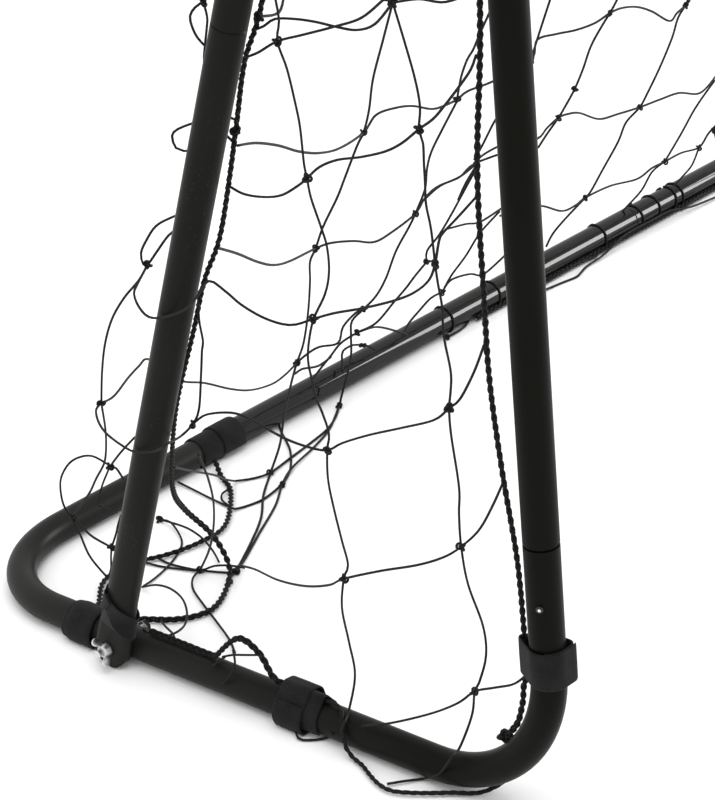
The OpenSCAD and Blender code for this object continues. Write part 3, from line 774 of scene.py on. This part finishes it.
# Knots by the net plane they hang in and where they stand in the view
KNOTS = {
    "T": ("side", 392.7, 2.6), "TB": ("back", 392.7, 2.6), "K1": ("side", 277.4, 41.3),
    "K3": ("back", 363.5, 132.6), "K4": ("side", 418.9, 129.2), "K5": ("side", 307, 178.2),
    "K6": ("back", 457, 99.5), "K7": ("side", 313.7, 318.8), "K8": ("back", 315.7, 248.4),
    "K9": ("back", 296.9, 362.7), "K10": ("back", 415.3, 213.7), "KX": ("back", 363.7, 309),
    "K11": ("side", 435.1, 263.7), "K12": ("back", 426.9, 261.6),
    "K13": ("back", 357.1, 332.7), "K14": ("back", 442.2, 292.2),
    "K15": ("back", 362.7, 345.3), "K16": ("floor", 447.3, 337.1),
    "K17": ("side", 449.1, 408.1), "K18": ("side", 327.2, 450.2),
    "K19": ("side", 461.2, 546.6), "K20": ("side", 343.8, 578.8),
    "K21": ("side", 474.6, 691.5), "K22": ("floor", 282.2, 484.5),
    "K23": ("floor", 270.7, 472.4), "K24": ("floor", 339.3, 405.4),
    "K25": ("floor", 236, 571.5), "K26": ("side", 147.5, 264.8),
    "K27": ("side", 101.4, 403.2), "K28": ("side", 193, 423.8), "K30": ("back", 610.1, 13),
    "K31": ("back", 685.7, 5.4), "K32": ("back", 574.7, 89), "K33": ("back", 558.5, 117.7),
    "K34": ("back", 639.8, 107.2), "K35": ("back", 585.3, 197.7),
    "K36": ("back", 664.7, 161.7), "K37": ("back", 699, 147.4),
    "K40": ("corner", 110, 466.7), "K41": ("corner", 73.3, 517.7),
    "K42": ("corner", 111.6, 547.2), "K43": ("floor", 159.4, 519.3),
    "K44": ("floor", 200, 570.3), "K45": ("side", 203.2, 1.7), "KH": ("back", 531, 60),
}

# Strands of the side net, then of the back net: knots, view points and, where a strand
# passes to another plane, the plane with its view point
SIDE_STRANDS = [
    ["T", (404, 40), (415, 79), (420, 107), "K4", (423, 143), (424, 165), (425, 182),
     (426, 204), (431, 229), "K11", (438, 284), (442, 306), (443, 327), (445, 343),
     (451, 374), (450, 398), "K17", (451, 434), (459, 487), (459, 514), "K19", (468, 584),
     (483, 626), (486, 656), (479, 683), "K21", (472, 715), ("side", 460, 747),
     ("face", 452, 757), ("face", 442, 771), ("face", 437, 774.5), ("floor", 424, 778.5),
     (405, 781), ("floor", 387, 784)],
    [("side", 275.6, 0), (279, 21), "K1", (287, 69), (295, 102), (300, 127), (304, 164), "K5",
     (311, 198), (321, 227), (327, 247), (329, 272), (325, 294), "K7", (309, 341),
     (308, 360), (311, 376), (316, 398), (322, 412), (329, 434), "K18", (328, 479),
     (334, 509), (342, 541), (348, 565), "K20", (342, 608), (349, 642), (355, 675),
     ("lid", 349, 710), ("face", 345, 722), ("face", 341, 732)],
    [("seam", 257, 29), (264, 26), (275, 19), (295, 19), (316, 22), (337, 27), (357, 30),
     (375, 24), "T"],
    [("seam", 236, 58.5), (246, 57), (258, 52.5), "K1", (302, 35), (333, 27), (361, 18),
     ("side", 383, 0)],
    [("seam", 229, 186), (244, 194), (264, 197), (282, 195), (299, 185), "K5",
     (319.5, 167), (337, 160), (361, 157), (385, 151.5), (402, 143), "K4", (433, 119),
     (445, 105), (461, 84), (471, 69), ("side", 476, 55)],
    ["K26", (137, 285), (134, 294), (139, 307), (149, 317), ("outer", 165, 317),
     ("outer", 185, 309), ("outer", 197.5, 296), ("outer", 209, 281), (225, 291),
     (241, 304.5), (262, 317), (282, 324), (296, 324.5), "K7", (335, 313), (364, 308),
     (396, 300), (415, 292), (429, 280), "K11", (439, 241), (443, 233), (458, 217),
     ("side", 477, 196)],
    ["K28", (203, 416), (212, 413.5), (224, 412.5), (236, 413.5), (248, 418), (257, 423),
     (284, 438), (308, 447), "K18", (342.5, 443), (369, 435), (401, 428), (434, 420),
     "K17", (460, 399), (474, 372), ("side", 484, 345)],
    ["K25", (238, 566), (254, 569), (278, 580), (305, 586), (329, 585), "K20", (380, 571),
     (417.5, 565), (444, 557), "K19", (479, 530), (492.5, 506), ("side", 504.6, 479)],
    [("lid", 362, 726), (391, 723), (431, 713.5), (458, 703), "K21", (492.5, 688),
     (511, 685), ("side", 519, 681), ("side", 524, 677)],
    [("seam", 186, 212), (172.5, 217), (156, 226), (146, 241), (141, 253), (143, 264), "K26",
     (158, 250), (169, 235), ("seam", 182, 226)],
    ["K26", (139, 280), (124, 298), (112, 319), (105, 344), (102, 373), "K27"],
    ["K27", (114, 396), (128, 378), (139, 366), (147.5, 359), (165, 370), (182, 381),
     (204.5, 383), (231, 389), (251, 390), (272, 384), (286, 374), "K9"],
    ["K27", (96, 410), (99, 423), (108, 435), (126, 448), ("outer", 137, 452),
     ("outer", 155, 451), ("outer", 167, 444), ("side", 181, 436), "K28", (199, 409),
     (201, 376), (202, 350), (203, 341), (199, 319), ("seam", 198, 291)],
    ["K27", (102, 407), (105.5, 430), (106, 449), (104, 463.5), (96, 479), (90, 492),
     (81, 505), "K41", (80, 534), (88.5, 554), (98, 567), ("corner", 108, 578)],
    ["K41", (84, 529), (93, 537), (109, 546), "K42"],
    ["K42", (116, 534), (118, 525), ("corner", 121, 515)],
    ["K42", (111, 557), (111, 569), ("corner", 108, 578)],
    ["K41", (65, 508), (61, 494), (61, 478), (69, 463.5), (80, 457), (92, 456), (104, 462),
     "K40", (108, 471), (102, 486), (100, 497), (99, 505), ("corner", 111, 510)],
    ["K40", (117, 457), (125, 447.5), ("corner", 135, 437)],
    ["K40", (116, 468), ("corner", 124, 480)],
    ["K43", (170, 522), (178, 532), (182, 543), (178, 557.5), (167, 572), (154, 581),
     ("floor", 143.5, 586)],
    ["K43", (176, 524), (189, 529), (202, 538), (213, 551), ("floor", 219, 562)],
    [("floor", 157, 557.5), (170, 570), (190.5, 580), (206, 582), (227, 578), "K25"],
    [("floor", 143, 561.5), (157, 567), (174.5, 570), "K44", (214, 566), (230, 565.5),
     ("floor", 245, 568)],
    ["K44", (208, 553), (212, 538), (214, 519), (213, 498.5), (208, 478), (204, 468),
     ("seam", 198.5, 454)],
    ["K44", (193, 578), (193, 589), (203, 604), (216, 621), (229, 639),
     ("floor", 235, 653)],
    [("floor", 142, 587), (157, 585), (171, 589), (182.5, 599), (187, 613), (184, 626),
     ("lid", 173, 634), (160, 636.5), (150, 634), ("lid", 143, 629)],
    [("floor", 160, 620), (166, 627), ("lid", 173, 634), ("lid", 175, 640)],
    [("face", 233, 650), (235, 662), (233, 670), (228, 678), ("face", 222, 684)],
    [("lid", 222, 657), (232, 655), (245, 655), ("lid", 258, 655)],
    [("lid", 210, 668), (220, 660), ("lid", 225, 657)],
    [("face", 295, 729), ("floor", 298, 738), (303, 742), (309, 743.5), (316, 742.5),
     (322, 740), ("floor", 328, 737), ("face", 332, 734)],
    [("seam", 224, 116), (230, 117.5), ("seam", 236, 120)],
    [("seam", 220, 131), (227, 136), ("seam", 233, 142)],
    [("seam", 174.5, 467.5), (192, 471), (214, 475), (226, 479.5), ("floor", 235, 481)],
    [("floor", 178, 482), (194, 490), (211, 498.5), (225, 505), ("floor", 235, 509)],
    [("floor", 229, 489), (222, 494), (222, 500), ("floor", 228, 505)],
    ["K25", (232, 589), (229.5, 605), (232, 619), (235, 608.5), (233.5, 593),
     ("floor", 228, 577)],
    ["K45", (195, 7.5), (190, 16), (192, 26.5), (197, 37), ("side", 204, 45)],
    ["K45", (207, 16), (207, 25), (205, 45), (204, 62), ("side", 208, 76)],
    [("side", 196, 122), (178, 129), (172, 136), (176, 148), (184, 151),
     ("side", 194, 150)],
]
BACK_STRANDS = [
    ["TB", (383, 40), (373, 79), (369, 110), "K3", (357, 146), (344, 180), (337, 198),
     (323, 227), "K8", (310, 262), (310, 282), (308, 313), (303.5, 343), "K9", (292, 380),
     (289, 393), (284, 415), (280, 444), "K23", (263.5, 495), (261, 519), (251, 543),
     "K25"],
    [("back", 478, 38), (473, 50), (467, 60), (461, 77.5), "K6", (456, 103), (443.5, 127),
     (431.5, 151.5), (427, 169), (425, 189), "K10", (409, 227), (396, 251), (386, 278),
     (376, 296), "KX", (352, 321), (351, 335), (351, 355.5), (347, 376), (341, 398), "K24",
     (330, 431), (316, 447), (292, 468), "K22", (275.5, 506), (259.5, 533), (246, 557),
     "K25"],
    [("seam", 237.7, 145.5), (256, 143), (278, 145.5), (299, 151.5), (319.5, 153),
     (340, 148), "K3", (376, 115), (395, 108), (412.5, 106), (431.5, 109), (443.5, 106),
     "K6", (468, 91), (493.5, 81), "KH", (537, 40), (556.5, 34), (576, 30), (595, 23),
     "K30", (622, 8), (637, 7), (652, 11.5), (669.5, 21), (677, 13), "K31",
     ("back", 690, 0)],
    [("seam", 218, 248), (237, 253.5), (258, 262), (274, 265), (290, 261), "K8",
     (331, 243), (353.5, 241), (374, 242), (392, 232), "K10", (425, 198), (437, 187),
     (453.5, 180), (461, 176), (474, 164), ("back", 505, 152), (537, 139), (547, 128),
     "K33", (568, 114), (579.5, 113), (599, 119), (618, 114), "K34", (660, 99.5),
     (679, 93), (700, 93), ("back", 716, 76)],
    ["K9", (306.5, 354.5), (319, 347), (338, 343), (343, 327), (355.5, 313), "KX"],
    ["K12", (427, 251), (439, 235), (451, 215), (470, 180), ("back", 477, 168)],
    ["K12", (415, 276), (406, 288), (394, 302), (376, 323), "K13", (341, 343),
     (331, 355.5), (321, 368), ("bar", 312, 380)],
    ["K14", (451, 276), (466, 255.5), (480, 233), ("back", 500, 211)],
    ["K14", (451, 280), (470, 274), (482, 275), (498, 262), ("back", 510, 250)],
    ["K14", (431, 298), (419, 311), (409, 323), ("bar", 402, 336)],
    ["K13", (376, 327), (396, 331), ("bar", 407, 335)],
    ["K15", (353, 345), (343, 351), (342, 360), ("bar", 343, 372)],
    ["K15", (368, 346), ("bar", 376, 350)],
    ["K16", (462, 333), (468, 325), ("floor", 472, 312)],
    [("back", 426, 198), (440, 186), (461, 176), ("back", 478, 162)],
    [("back", 458, 200), (466, 182.5), ("back", 478, 163)],
    [("back", 474, 160), (482, 146), (495, 120.5), ("back", 510, 98)],
    [("back", 474, 163), (483, 155), (497, 147), ("back", 515, 140)],
    [("back", 447, 229), (466, 224), (480, 222), ("back", 502, 208)],
    ["K9", (294, 374), (302, 369), (318, 366), ("back", 331, 357)],
    [("floor", 279, 408), (280, 428), (290, 450), (290, 471), "K22"],
    ["K24", (336, 420), (328, 436), (310, 449), (290, 460), "K23", (254, 480),
     ("floor", 235, 481)],
    ["K22", (265, 506), (246, 510), ("floor", 235, 509)],
    [("back", 550, 0), (537, 40), "KH"],
    ["K30", ("back", 617, 0)],
    ["K30", (602.5, 25), (591, 46), (583, 69), "K32", (566, 105), "K33", (547, 134),
     ("back", 538, 148)],
    ["K31", (678, 18), (672, 38), (660, 67), (648, 92), "K34", (626, 122.5), (618, 142),
     (602.5, 170), (591, 191), "K35", (566, 218), (553, 233.5), ("back", 546, 247)],
    [("back", 500, 216), (520, 207), (542, 206), (562, 211), (576, 205), "K35", (610, 186),
     (637, 179), (652, 168), "K36", (681, 153), "K37", (708, 134), ("back", 716, 125)],
    ["K36", (681, 134), (696, 107), ("back", 715, 80)],
    ["K36", (652, 172), (641, 191), (622, 212), ("floor", 604, 235)],
    ["K37", (692, 165), (682, 177), ("bar", 674, 186)],
    [("floor", 716, 197), (690.5, 207), (671, 210.5), (652, 220), (625, 235), (604, 254.5),
     (587, 266), (581, 277.5), (576, 285), (560, 285), ("floor", 540, 292)],
    [("floor", 597, 256), (576, 264), (556.5, 276), ("floor", 540, 286)],
]


def view_strand(strand):
    """The strand's points in the left frame; between knots its depth changes evenly."""
    spots = []
    for item in strand:
        if isinstance(item, str):
            item = KNOTS[item]
        plane, x, y = item if len(item) == 3 else (None, *item)
        ray = view_ray(x, y)
        depth = None
        if plane:
            depth = (plane_point(plane, ray) - EYE).dot(FORWARD)
        spots.append([Vector((x, y)), ray, depth])
    fixed = [i for i, spot in enumerate(spots) if spot[2]]
    for start, stop in zip(fixed, fixed[1:]):
        whole = length_of([spot[0] for spot in spots[start:stop + 1]])
        for i in range(start + 1, stop):
            part = length_of([spot[0] for spot in spots[start:i + 1]]) / whole
            near, far = 1 / spots[start][2], 1 / spots[stop][2]
            spots[i][2] = 1 / (near + (far - near) * part)
    points = [EYE + ray * depth for _, ray, depth in spots]
    for p in points:
        p.z = max(p.z, 1.0)
    return points


def view_knot(name):
    plane, x, y = KNOTS[name]
    return plane_point(plane, view_ray(x, y))


def seam_y(z):
    """How far back the seam rope is at a height."""
    for a, b in zip(SEAM_LINE, SEAM_LINE[1:]):
        if b.z <= z:
            return a.y + (b.y - a.y) * max(0.0, a.z - z) / (a.z - b.z)
    return SEAM_LINE[-1].y


def back_y(z):
    return NET_TOP_Y + (CROSSBAR_Z - z) * (NET_LOW[0] - NET_TOP_Y) / (CROSSBAR_Z - NET_LOW[1])


def bowed(a, b, dice, bow):
    """A slack stretch between two knots, sagging and bowing a little."""
    a, b = Vector(a), Vector(b)
    points = [a]
    for part in (0.33, 0.67):
        shift = Vector((dice.uniform(-bow, bow), dice.uniform(-bow, bow) * 0.4,
                        dice.uniform(-bow, bow) - bow * 0.3))
        points.append(a.lerp(b, part) + shift)
    return points + [b]


def upper_side():
    """Side net above the view: one column of knots and the rows between rope and seam."""
    dice = random.Random(7)
    strands, knots = [], []
    column = [view_knot("T")]
    heights = [668, 765, 860]
    for i, z in enumerate(heights):
        knot_e = Vector((0, 86 - 4 * i + dice.uniform(-5, 5), z))
        column.append(knot_e)
        knots.append(knot_e)
        tied = z + 12
        strands.append(bowed((5, seam_y(tied) - 2, tied), knot_e, dice, 6))
        strands.append(bowed(knot_e, (0, ROPE_OFF + 5, z + 8), dice, 6))
    column.append(Vector((5, seam_y(955), 955)))
    for a, b in zip(column, column[1:]):
        strands.append(bowed(a, b, dice, 7))
    strands.append(bowed(view_strand([("side", 275.6, 0), ("side", 275.7, 1)])[0],
                         (5, seam_y(650), 650), dice, 5))
    strands.append(bowed(view_strand([("side", 383, 0), ("side", 384, 1)])[0],
                         view_knot("T"), dice, 3))
    strands.append(bowed(view_knot("T"), (0, ROPE_OFF + 8, 590), dice, 4))
    strands.append(bowed((5, seam_y(965), 965), (0, ROPE_OFF + 3, 955), dice, 5))
    strands.append(bowed((5, seam_y(1065), 1065), (0, ROPE_OFF + 2, 1050), dice, 4))
    return strands, knots


def upper_back():
    """Left half of the back net above the view and right of it."""
    dice = random.Random(11)
    tops = {345: view_knot("TB"), 478: view_strand([("back", 478, 38), ("back", 478, 39)])[0],
            590: view_strand([("back", 550, 0), ("back", 550, 1)])[0],
            700: view_strand([("back", 617, 0), ("back", 617, 1)])[0],
            835: view_knot("K31")}
    columns = [112, 230, 345, 478, 590, 700, 835]
    rows = [1090, 975, 858, 745, 635, 525, 425]
    strands, knots, grid = [], [], {}
    for i, x in enumerate(columns):
        for j, z in enumerate(rows):
            ease = min(1.0, x / 300)
            depth = seam_y(z) + (back_y(z) - seam_y(z)) * ease
            spot = Vector((x + dice.uniform(-9, 9), depth + dice.uniform(-4, 0),
                           z + dice.uniform(-9, 9)))
            if above_view(spot) and not (x >= 345 and z <= 460):
                grid[i, j] = spot
                knots.append(spot)
    for (i, j), here in grid.items():
        if (i, j + 1) in grid:
            strands.append(bowed(here, grid[i, j + 1], dice, 9))
        if (i + 1, j) in grid:
            strands.append(bowed(here, grid[i + 1, j], dice, 9))
        if i == len(columns) - 1:
            strands.append(bowed(here, (SPAN / 2, here.y, here.z - 6), dice, 4))
        if i == 0:
            z = here.z + 10
            strands.append(bowed((7, seam_y(z), z), here, dice, 6))
        if j == 0:
            strands.append(bowed((here.x, NET_TOP_Y - 4, CROSSBAR_Z), here, dice, 7))
    lowest = {i: max(j for k, j in grid if k == i) for i, _ in grid}
    for x, top in tops.items():
        i = columns.index(x)
        strands.append(bowed(grid[i, lowest[i]], top, dice, 5))
    edge = grid[0, lowest[0]]
    tied = max(edge.z - 50, 610)
    strands.append(bowed(edge, (7, seam_y(tied), tied), dice, 5))
    strands.append(bowed(grid[1, lowest[1]], view_knot("TB"), dice, 5))
    return strands, knots


def bar_turns(mesh, place, centres, dice):
    """Twine wound once round the rear bar at each centre, slanting a little along it."""
    for x in centres:
        line = []
        slant = dice.uniform(-9, 9)
        for k in range(25):
            a = 2 * math.pi * k / 24 + 1.2
            r = TUBE_R + TWINE_R
            line.append(place((x + slant * k / 24, REAR_Y + r * math.cos(a),
                               max(TUBE_R + r * math.sin(a), 0.8))))
        mesh.cord(line, TWINE_R * MM)


def net_piece(name, node, radius, groups, centres=()):
    """One net panel: groups are (place, strands, knots)."""
    mesh = Mesh()
    dice = random.Random(name)
    for place, strands, knots in groups:
        for strand in strands:
            line = [place(p) for p in smooth(strand, TWINE_STEP)]
            mesh.cord(line, radius * MM)
        for centre in knots:
            knot(mesh, place(centre), KNOT_R, dice, KNOT_TWINE_R)
    for place, where in centres:
        bar_turns(mesh, place, where, dice)
    piece = mesh.object(name, NET, "net_cord")
    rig.replaces(piece, node)


side_lines, side_knots = upper_side()
side_lines += [view_strand(s) for s in SIDE_STRANDS]
used = {item for s in SIDE_STRANDS for item in s if isinstance(item, str)}
side_knots += [view_knot(k) for k in sorted(used)]
for side, place in SIDES.items():
    net_piece(f"side_net_{side}_twine", f"side_net_{side}", TWINE_R,
              [(place, side_lines, side_knots)])

back_lines, back_knots = upper_back()
MIDDLE = {"K36", "K37"}
NEAR_MIDDLE_X = 880
viewed = [(s, view_strand(s)) for s in BACK_STRANDS]
left_lines = back_lines + [line for _, line in viewed]
right_lines = back_lines + [line for s, line in viewed
                            if max(p[0] for p in line) < NEAR_MIDDLE_X]
names = {item for s in BACK_STRANDS for item in s if isinstance(item, str)}
left_knots = back_knots + [view_knot(k) for k in sorted(names)]
right_knots = back_knots + [view_knot(k) for k in sorted(names - MIDDLE)]
TURNS = (605, 678, 849, 911, 943, 973, 984)
net_piece("back_net_twine", "back_net", BACK_TWINE_R,
          [(on_left, left_lines, left_knots), (on_right, right_lines, right_knots)],
          [(on_left, TURNS), (on_right, TURNS[:2])])


# ---------- Straps ----------
BAND = [(-0.5, 0.5), (-0.485, 0.82), (-0.45, 0.97), (-0.2, 1.0), (0, 1.03), (0.2, 1.0),
        (0.45, 0.97), (0.485, 0.82), (0.5, 0.5), (0.485, 0.15), (0.45, 0.02), (0, 0),
        (-0.45, 0.02), (-0.485, 0.15)]


def band(mesh, rail, width, thick, place):
    """Tape laid along a rail of (point, across, out); its underside follows the points."""
    line = [place(p) for p, _, _ in rail]
    zero = place((0, 0, 0))
    frames = [((place(a) - zero) / MM, (place(o) - zero) / MM) for _, a, o in rail]
    section = [(a * width * MM, o * thick * MM) for a, o in BAND]
    mesh.sweep(line, section, frames)


def wrap(centre, u, v, across, turns, mates=(), under=0.0):
    """Rail of a strap round a tube. u and v span the plane that the strap lies in, turns
    are its start and end angles from u towards v, and mates are the (u, v, radius) of
    what else it takes in. It may lie over another layer `under` thick."""
    centre, u, v, across = map(Vector, (centre, u, v, across))
    rail, start, stop = [], *turns
    steps = max(8, round(abs(stop - start) / 7))
    rounds = [(0, 0, STRAP_IN), *mates]
    for k in range(steps + 1):
        turn = math.radians(start + (stop - start) * k / steps)
        n = Vector((math.cos(turn), math.sin(turn)))
        laps = abs(math.degrees(turn) - start) / 360
        gap = under + (STRAP_T + 0.15) * min(1.0, max(0.0, laps * 6 - 5))
        a, b, r = max(rounds, key=lambda c: c[0] * n.x + c[1] * n.y + c[2])
        p = Vector((a, b)) + n * (r + gap)
        out = u * n.x + v * n.y
        rail.append((centre + u * p.x + v * p.y, across, out))
    return rail


def even_rail(rail, step):
    """The rail with points no further apart than a step, so that flats stay flat."""
    out = []
    for (p, a, n), (q, b, m) in zip(rail, rail[1:]):
        parts = max(1, round((q - p).length / step))
        for k in range(parts):
            t = k / parts
            out.append((p.lerp(q, t), Vector(a).lerp(b, t).normalized(),
                        n.lerp(m, t).normalized()))
    return out + [rail[-1]]


def keep_above(rail, low):
    """Parts of a strap under a bar are squashed flat on the ground."""
    kept = []
    for p, a, n in rail:
        p = p.copy()
        if p.z < low and n.z < 0:
            p.z = low
        kept.append((p, a, n))
    return kept


def strap_piece(name, node, rails, width=STRAP_W, thick=STRAP_T):
    """Tape laid along each rail; rails are (place, rail)."""
    mesh = Mesh()
    for place, rail in rails:
        band(mesh, even_rail(rail, 2.0), width, thick, place)
    piece = mesh.object(name, CLOTH, "strap_fabric")
    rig.replaces(piece, node)


X, Y, Z = Vector((1, 0, 0)), Vector((0, 1, 0)), Vector((0, 0, 1))
ROPE_R = ROPE_D / 2 + 0.25
ROPE_SIDE = (0, ROPE_OFF, ROPE_R)


def toward(angle, far, r):
    """A round thing that a strap takes in, by its direction and distance."""
    return (far * math.cos(math.radians(angle)), far * math.sin(math.radians(angle)), r)


for side, place in SIDES.items():
    post = wrap((0, 0, POST_STRAP_H), X, Y, Z, (-150, 305),
                [(0, ROPE_OFF + POST_ROPE_SLACK, ROPE_R), toward(-46, 11.5, 4.6)])
    strap_piece(f"post_strap_{side}_cloth", f"post_strap_{side}", [(place, post)])

    bar = keep_above(wrap((0, SIDE_STRAP_Y, TUBE_R), -X, Z, Y, (20, 400),
                          [ROPE_SIDE, (-5, 13, 4.5), toward(-50, 5, 11.2)], under=1.2),
                     STRAP_LOW)
    inner = keep_above(wrap((0, SIDE_STRAP_Y - 13, TUBE_R), -X, Z, Y, (-40, 140),
                            [ROPE_SIDE]), STRAP_LOW)
    strap_piece(f"side_bar_strap_{side}_cloth", f"side_bar_strap_{side}",
                [(place, bar), (place, inner)])

    belly = [toward(-27, 5.74, 9.95)]
    foot = keep_above(wrap((0, FOOT_STRAP_Y - 2, TUBE_R), -X, Z, Y, (-200, 175), belly),
                      STRAP_LOW)
    over = keep_above(wrap((0, FOOT_STRAP_Y - 8, TUBE_R), -X, Z, Y, (-75, 150), belly,
                           under=STRAP_T + 0.1), STRAP_LOW)
    strap_piece(f"foot_strap_{side}_cloth", f"foot_strap_{side}",
                [(place, foot), (place, over)])

    rear = keep_above(wrap((REAR_STRAP_X, REAR_Y, TUBE_R), Y, Z, X, (-90, 270)),
                      STRAP_LOW)
    tail = keep_above(wrap((REAR_TAIL_X, REAR_Y, TUBE_R), Y, Z, X, (5, 205),
                           under=STRAP_T + 0.15), STRAP_LOW)
    strap_piece(f"rear_strap_{side}_cloth", f"rear_strap_{side}",
                [(place, rear), (place, tail)])

crossbar_rails = []
step = (SPAN - 2 * TOP_R - 3 * STRAP_W) / (CROSSBAR_STRAPS - 1)
for i in range(CROSSBAR_STRAPS):
    x = TOP_R + 1.5 * STRAP_W + i * step
    crossbar_rails.append((on_left, wrap((x, 0, CROSSBAR_Z), -Z, Y, X, (-130, 245),
                                         [ROPE_SIDE])))
strap_piece("crossbar_straps_cloth", "crossbar_straps", crossbar_rails)


# ---------- Strap round the strut's foot ----------
STRUT_STRAP_S = 39.0
STRUT_STRAP_TILT = math.radians(43)
STRUT_STRAP_W = 18.0
STRUT_STRAP_T = 1.2


def on_strut(p):
    """From the strut's own frame, +Z up along it, to the left frame."""
    c, s = math.cos(STRUT_LEAN), math.sin(STRUT_LEAN)
    return Vector((p[0] - STRUT_OFF, FOOT_Y + p[1] * c - p[2] * s,
                   FOOT_BOLT_H + p[1] * s + p[2] * c))


def strut_strap(side, place):
    tube = frame["nodes"][f"lower_strut_{side}"]
    skin = BVHTree.FromObject(tube, bpy.context.evaluated_depsgraph_get())
    zero = place((0, 0, 0))
    centre = Vector((0, 0, STRUT_STRAP_S))
    u = Vector((1, 1, 0)).normalized()
    v = Vector((-1, 1, 0)).normalized() * math.cos(STRUT_STRAP_TILT)
    v.z = math.sin(STRUT_STRAP_TILT)
    points, normals, steps = [], [], 64
    for k in range(steps + 1):
        turn = math.radians(100 + 380 * k / steps)
        out = u * math.cos(turn) + v * math.sin(turn)
        far = place(on_strut(centre + out * 40))
        near = place(on_strut(centre))
        hit, normal = skin.ray_cast(far, (near - far).normalized())[:2]
        gap = 0.35 + (STRUT_STRAP_T + 0.2 if k > steps * 0.93 else 0.0)
        points.append((hit + normal * gap * MM - zero) / MM)
        normals.append(normal)
    if side == "right":
        for p in points + normals:
            p.x = -p.x
    rail = []
    for k, p in enumerate(points):
        ahead = points[min(k + 1, steps)] - points[max(k - 1, 0)]
        out = sum(normals[max(k - 2, 0):k + 3], Vector()).normalized()
        rail.append((p, out.cross(ahead).normalized(), out))
    return rail


for side, place in SIDES.items():
    strap_piece(f"strut_strap_{side}_cloth", f"strut_strap_{side}",
                [(place, strut_strap(side, place))], STRUT_STRAP_W, STRUT_STRAP_T)


# ---------- Wing nuts ----------
NUT_BORE_R = 3.05
HUB = [(NUT_BORE_R, 0), (5.3, 0), (5.7, 0.4), (5.6, 1.2), (5.0, 4.5), (4.6, 6.4), (4.2, 7.0),
       (3.6, 7.1), (NUT_BORE_R, 6.8)]
WING = [(3.2, 0.6), (5.5, 0.5), (7.6, 2.6), (9.4, 4.2), (11.2, 5.6), (12, 7.5), (11.2, 9.6),
        (9.4, 10.9), (7.6, 10.6), (6.2, 9.2), (5.2, 7.6), (4.4, 6.6), (3.2, 6.4)]
WING_EDGE = [(0.55, 1.15), (0.2, 1.05), (0.0, 0.7), (0.0, -0.7), (0.2, -1.05), (0.55, -1.15)]
HUB_SIDES = 40
FOOT_NUT_TURN = math.radians(-31)
TOP_NUT_TURN = math.radians(25)


def wing_nut(node, place, y, z, turn):
    """Cast wing nut on its bolt, its hub against the strut and its wings outwards."""
    mesh = Mesh()
    along = Vector((0, -math.sin(turn), math.cos(turn)))
    flat = Vector((0, math.cos(turn), math.sin(turn)))
    base = Vector((-NUT_SEAT, y, z))

    def spot(a, t, h):
        return mesh.bm.verts.new(place(base + along * a + flat * t - X * h))

    rings = [[spot(r * math.cos(2 * math.pi * k / HUB_SIDES),
                   r * math.sin(2 * math.pi * k / HUB_SIDES), h) for k in range(HUB_SIDES)]
             for r, h in HUB]
    join_rings(mesh, rings + [rings[0]])
    outline = smooth([(r, h, 0) for r, h in WING + WING[:1]], 0.7)[:-1]
    middle = sum(outline, Vector()) / len(outline)
    for way in (-1, 1):
        loops = []
        for inset, t in WING_EDGE:
            shrunk = [p + (middle - p).normalized() * inset for p in outline]
            loops.append([spot(way * p.x, t, p.y) for p in shrunk])
        join_rings(mesh, loops)
        for loop in (loops[0], loops[-1]):
            mesh.face(loop, [(0, 0)] * len(loop))
    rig.replaces(mesh.object(node + "_cast", ZINC, "zinc_hardware", node), node)


def join_rings(mesh, rings):
    """Faces between closed rings of points that follow one another."""
    for ring, after in zip(rings, rings[1:]):
        for k in range(len(ring)):
            j = (k + 1) % len(ring)
            mesh.face((ring[k], ring[j], after[j], after[k]), [(0, 0)] * 4)


for side, place in SIDES.items():
    wing_nut(f"foot_wing_nut_{side}", place, FOOT_Y, FOOT_BOLT_H, FOOT_NUT_TURN)
    wing_nut(f"top_wing_nut_{side}", place, 0, TOP_BOLT_H, TOP_NUT_TURN)


# ---------- Floor and light ----------
def add_floor():
    mesh = Mesh()
    reach = 6.0
    corners = [mesh.bm.verts.new((x, y, -0.0004)) for x, y in
               ((-reach, -reach), (reach, -reach), (reach, reach), (-reach, reach))]
    mesh.face(corners, ((0, 0), (1, 0), (1, 1), (0, 1)))
    data = bpy.data.meshes.new("floor")
    mesh.bm.to_mesh(data)
    mesh.bm.free()
    data.materials.append(floor_paint())
    floor = bpy.data.objects.new("floor", data)
    bpy.context.scene.collection.objects.link(floor)
    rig.stage(floor)


def add_lamp(name, at, aim, size, power):
    data = bpy.data.lights.new(name, "AREA")
    data.shape = "RECTANGLE"
    data.size, data.size_y = size
    data.energy = power
    lamp = bpy.data.objects.new(name, data)
    lamp.location = at
    lamp.rotation_euler = (Vector(aim) - Vector(at)).to_track_quat("-Z", "Y").to_euler()
    bpy.context.scene.collection.objects.link(lamp)
    return lamp


def add_light():
    world = bpy.data.worlds.new("studio")
    world.use_nodes = True
    sky = world.node_tree.nodes["Background"]
    sky.inputs["Color"].default_value = (1.0, 1.0, 1.0, 1)
    sky.inputs["Strength"].default_value = 1.1
    bpy.context.scene.world = world
    top = add_lamp("top_light", (-1.0, -0.6, 3.2), (0, 0, 0.3), (2.5, 2.5), 45)
    top.visible_glossy = False
    glint = add_lamp("bar_glint", (2.9, -1.9, 0.8), (0.35, 0.3, 0), (1.8, 1.5), 160)
    glint.visible_camera = False
    glint.visible_diffuse = False
    bpy.context.scene.view_settings.view_transform = "Standard"


add_floor()
add_light()

model_low, model_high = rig.bounds()
with open("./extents.json", "w") as kept:
    json.dump({"cad": [list(cad_low), list(cad_high)],
               "model": [list(model_low), list(model_high)]}, kept)
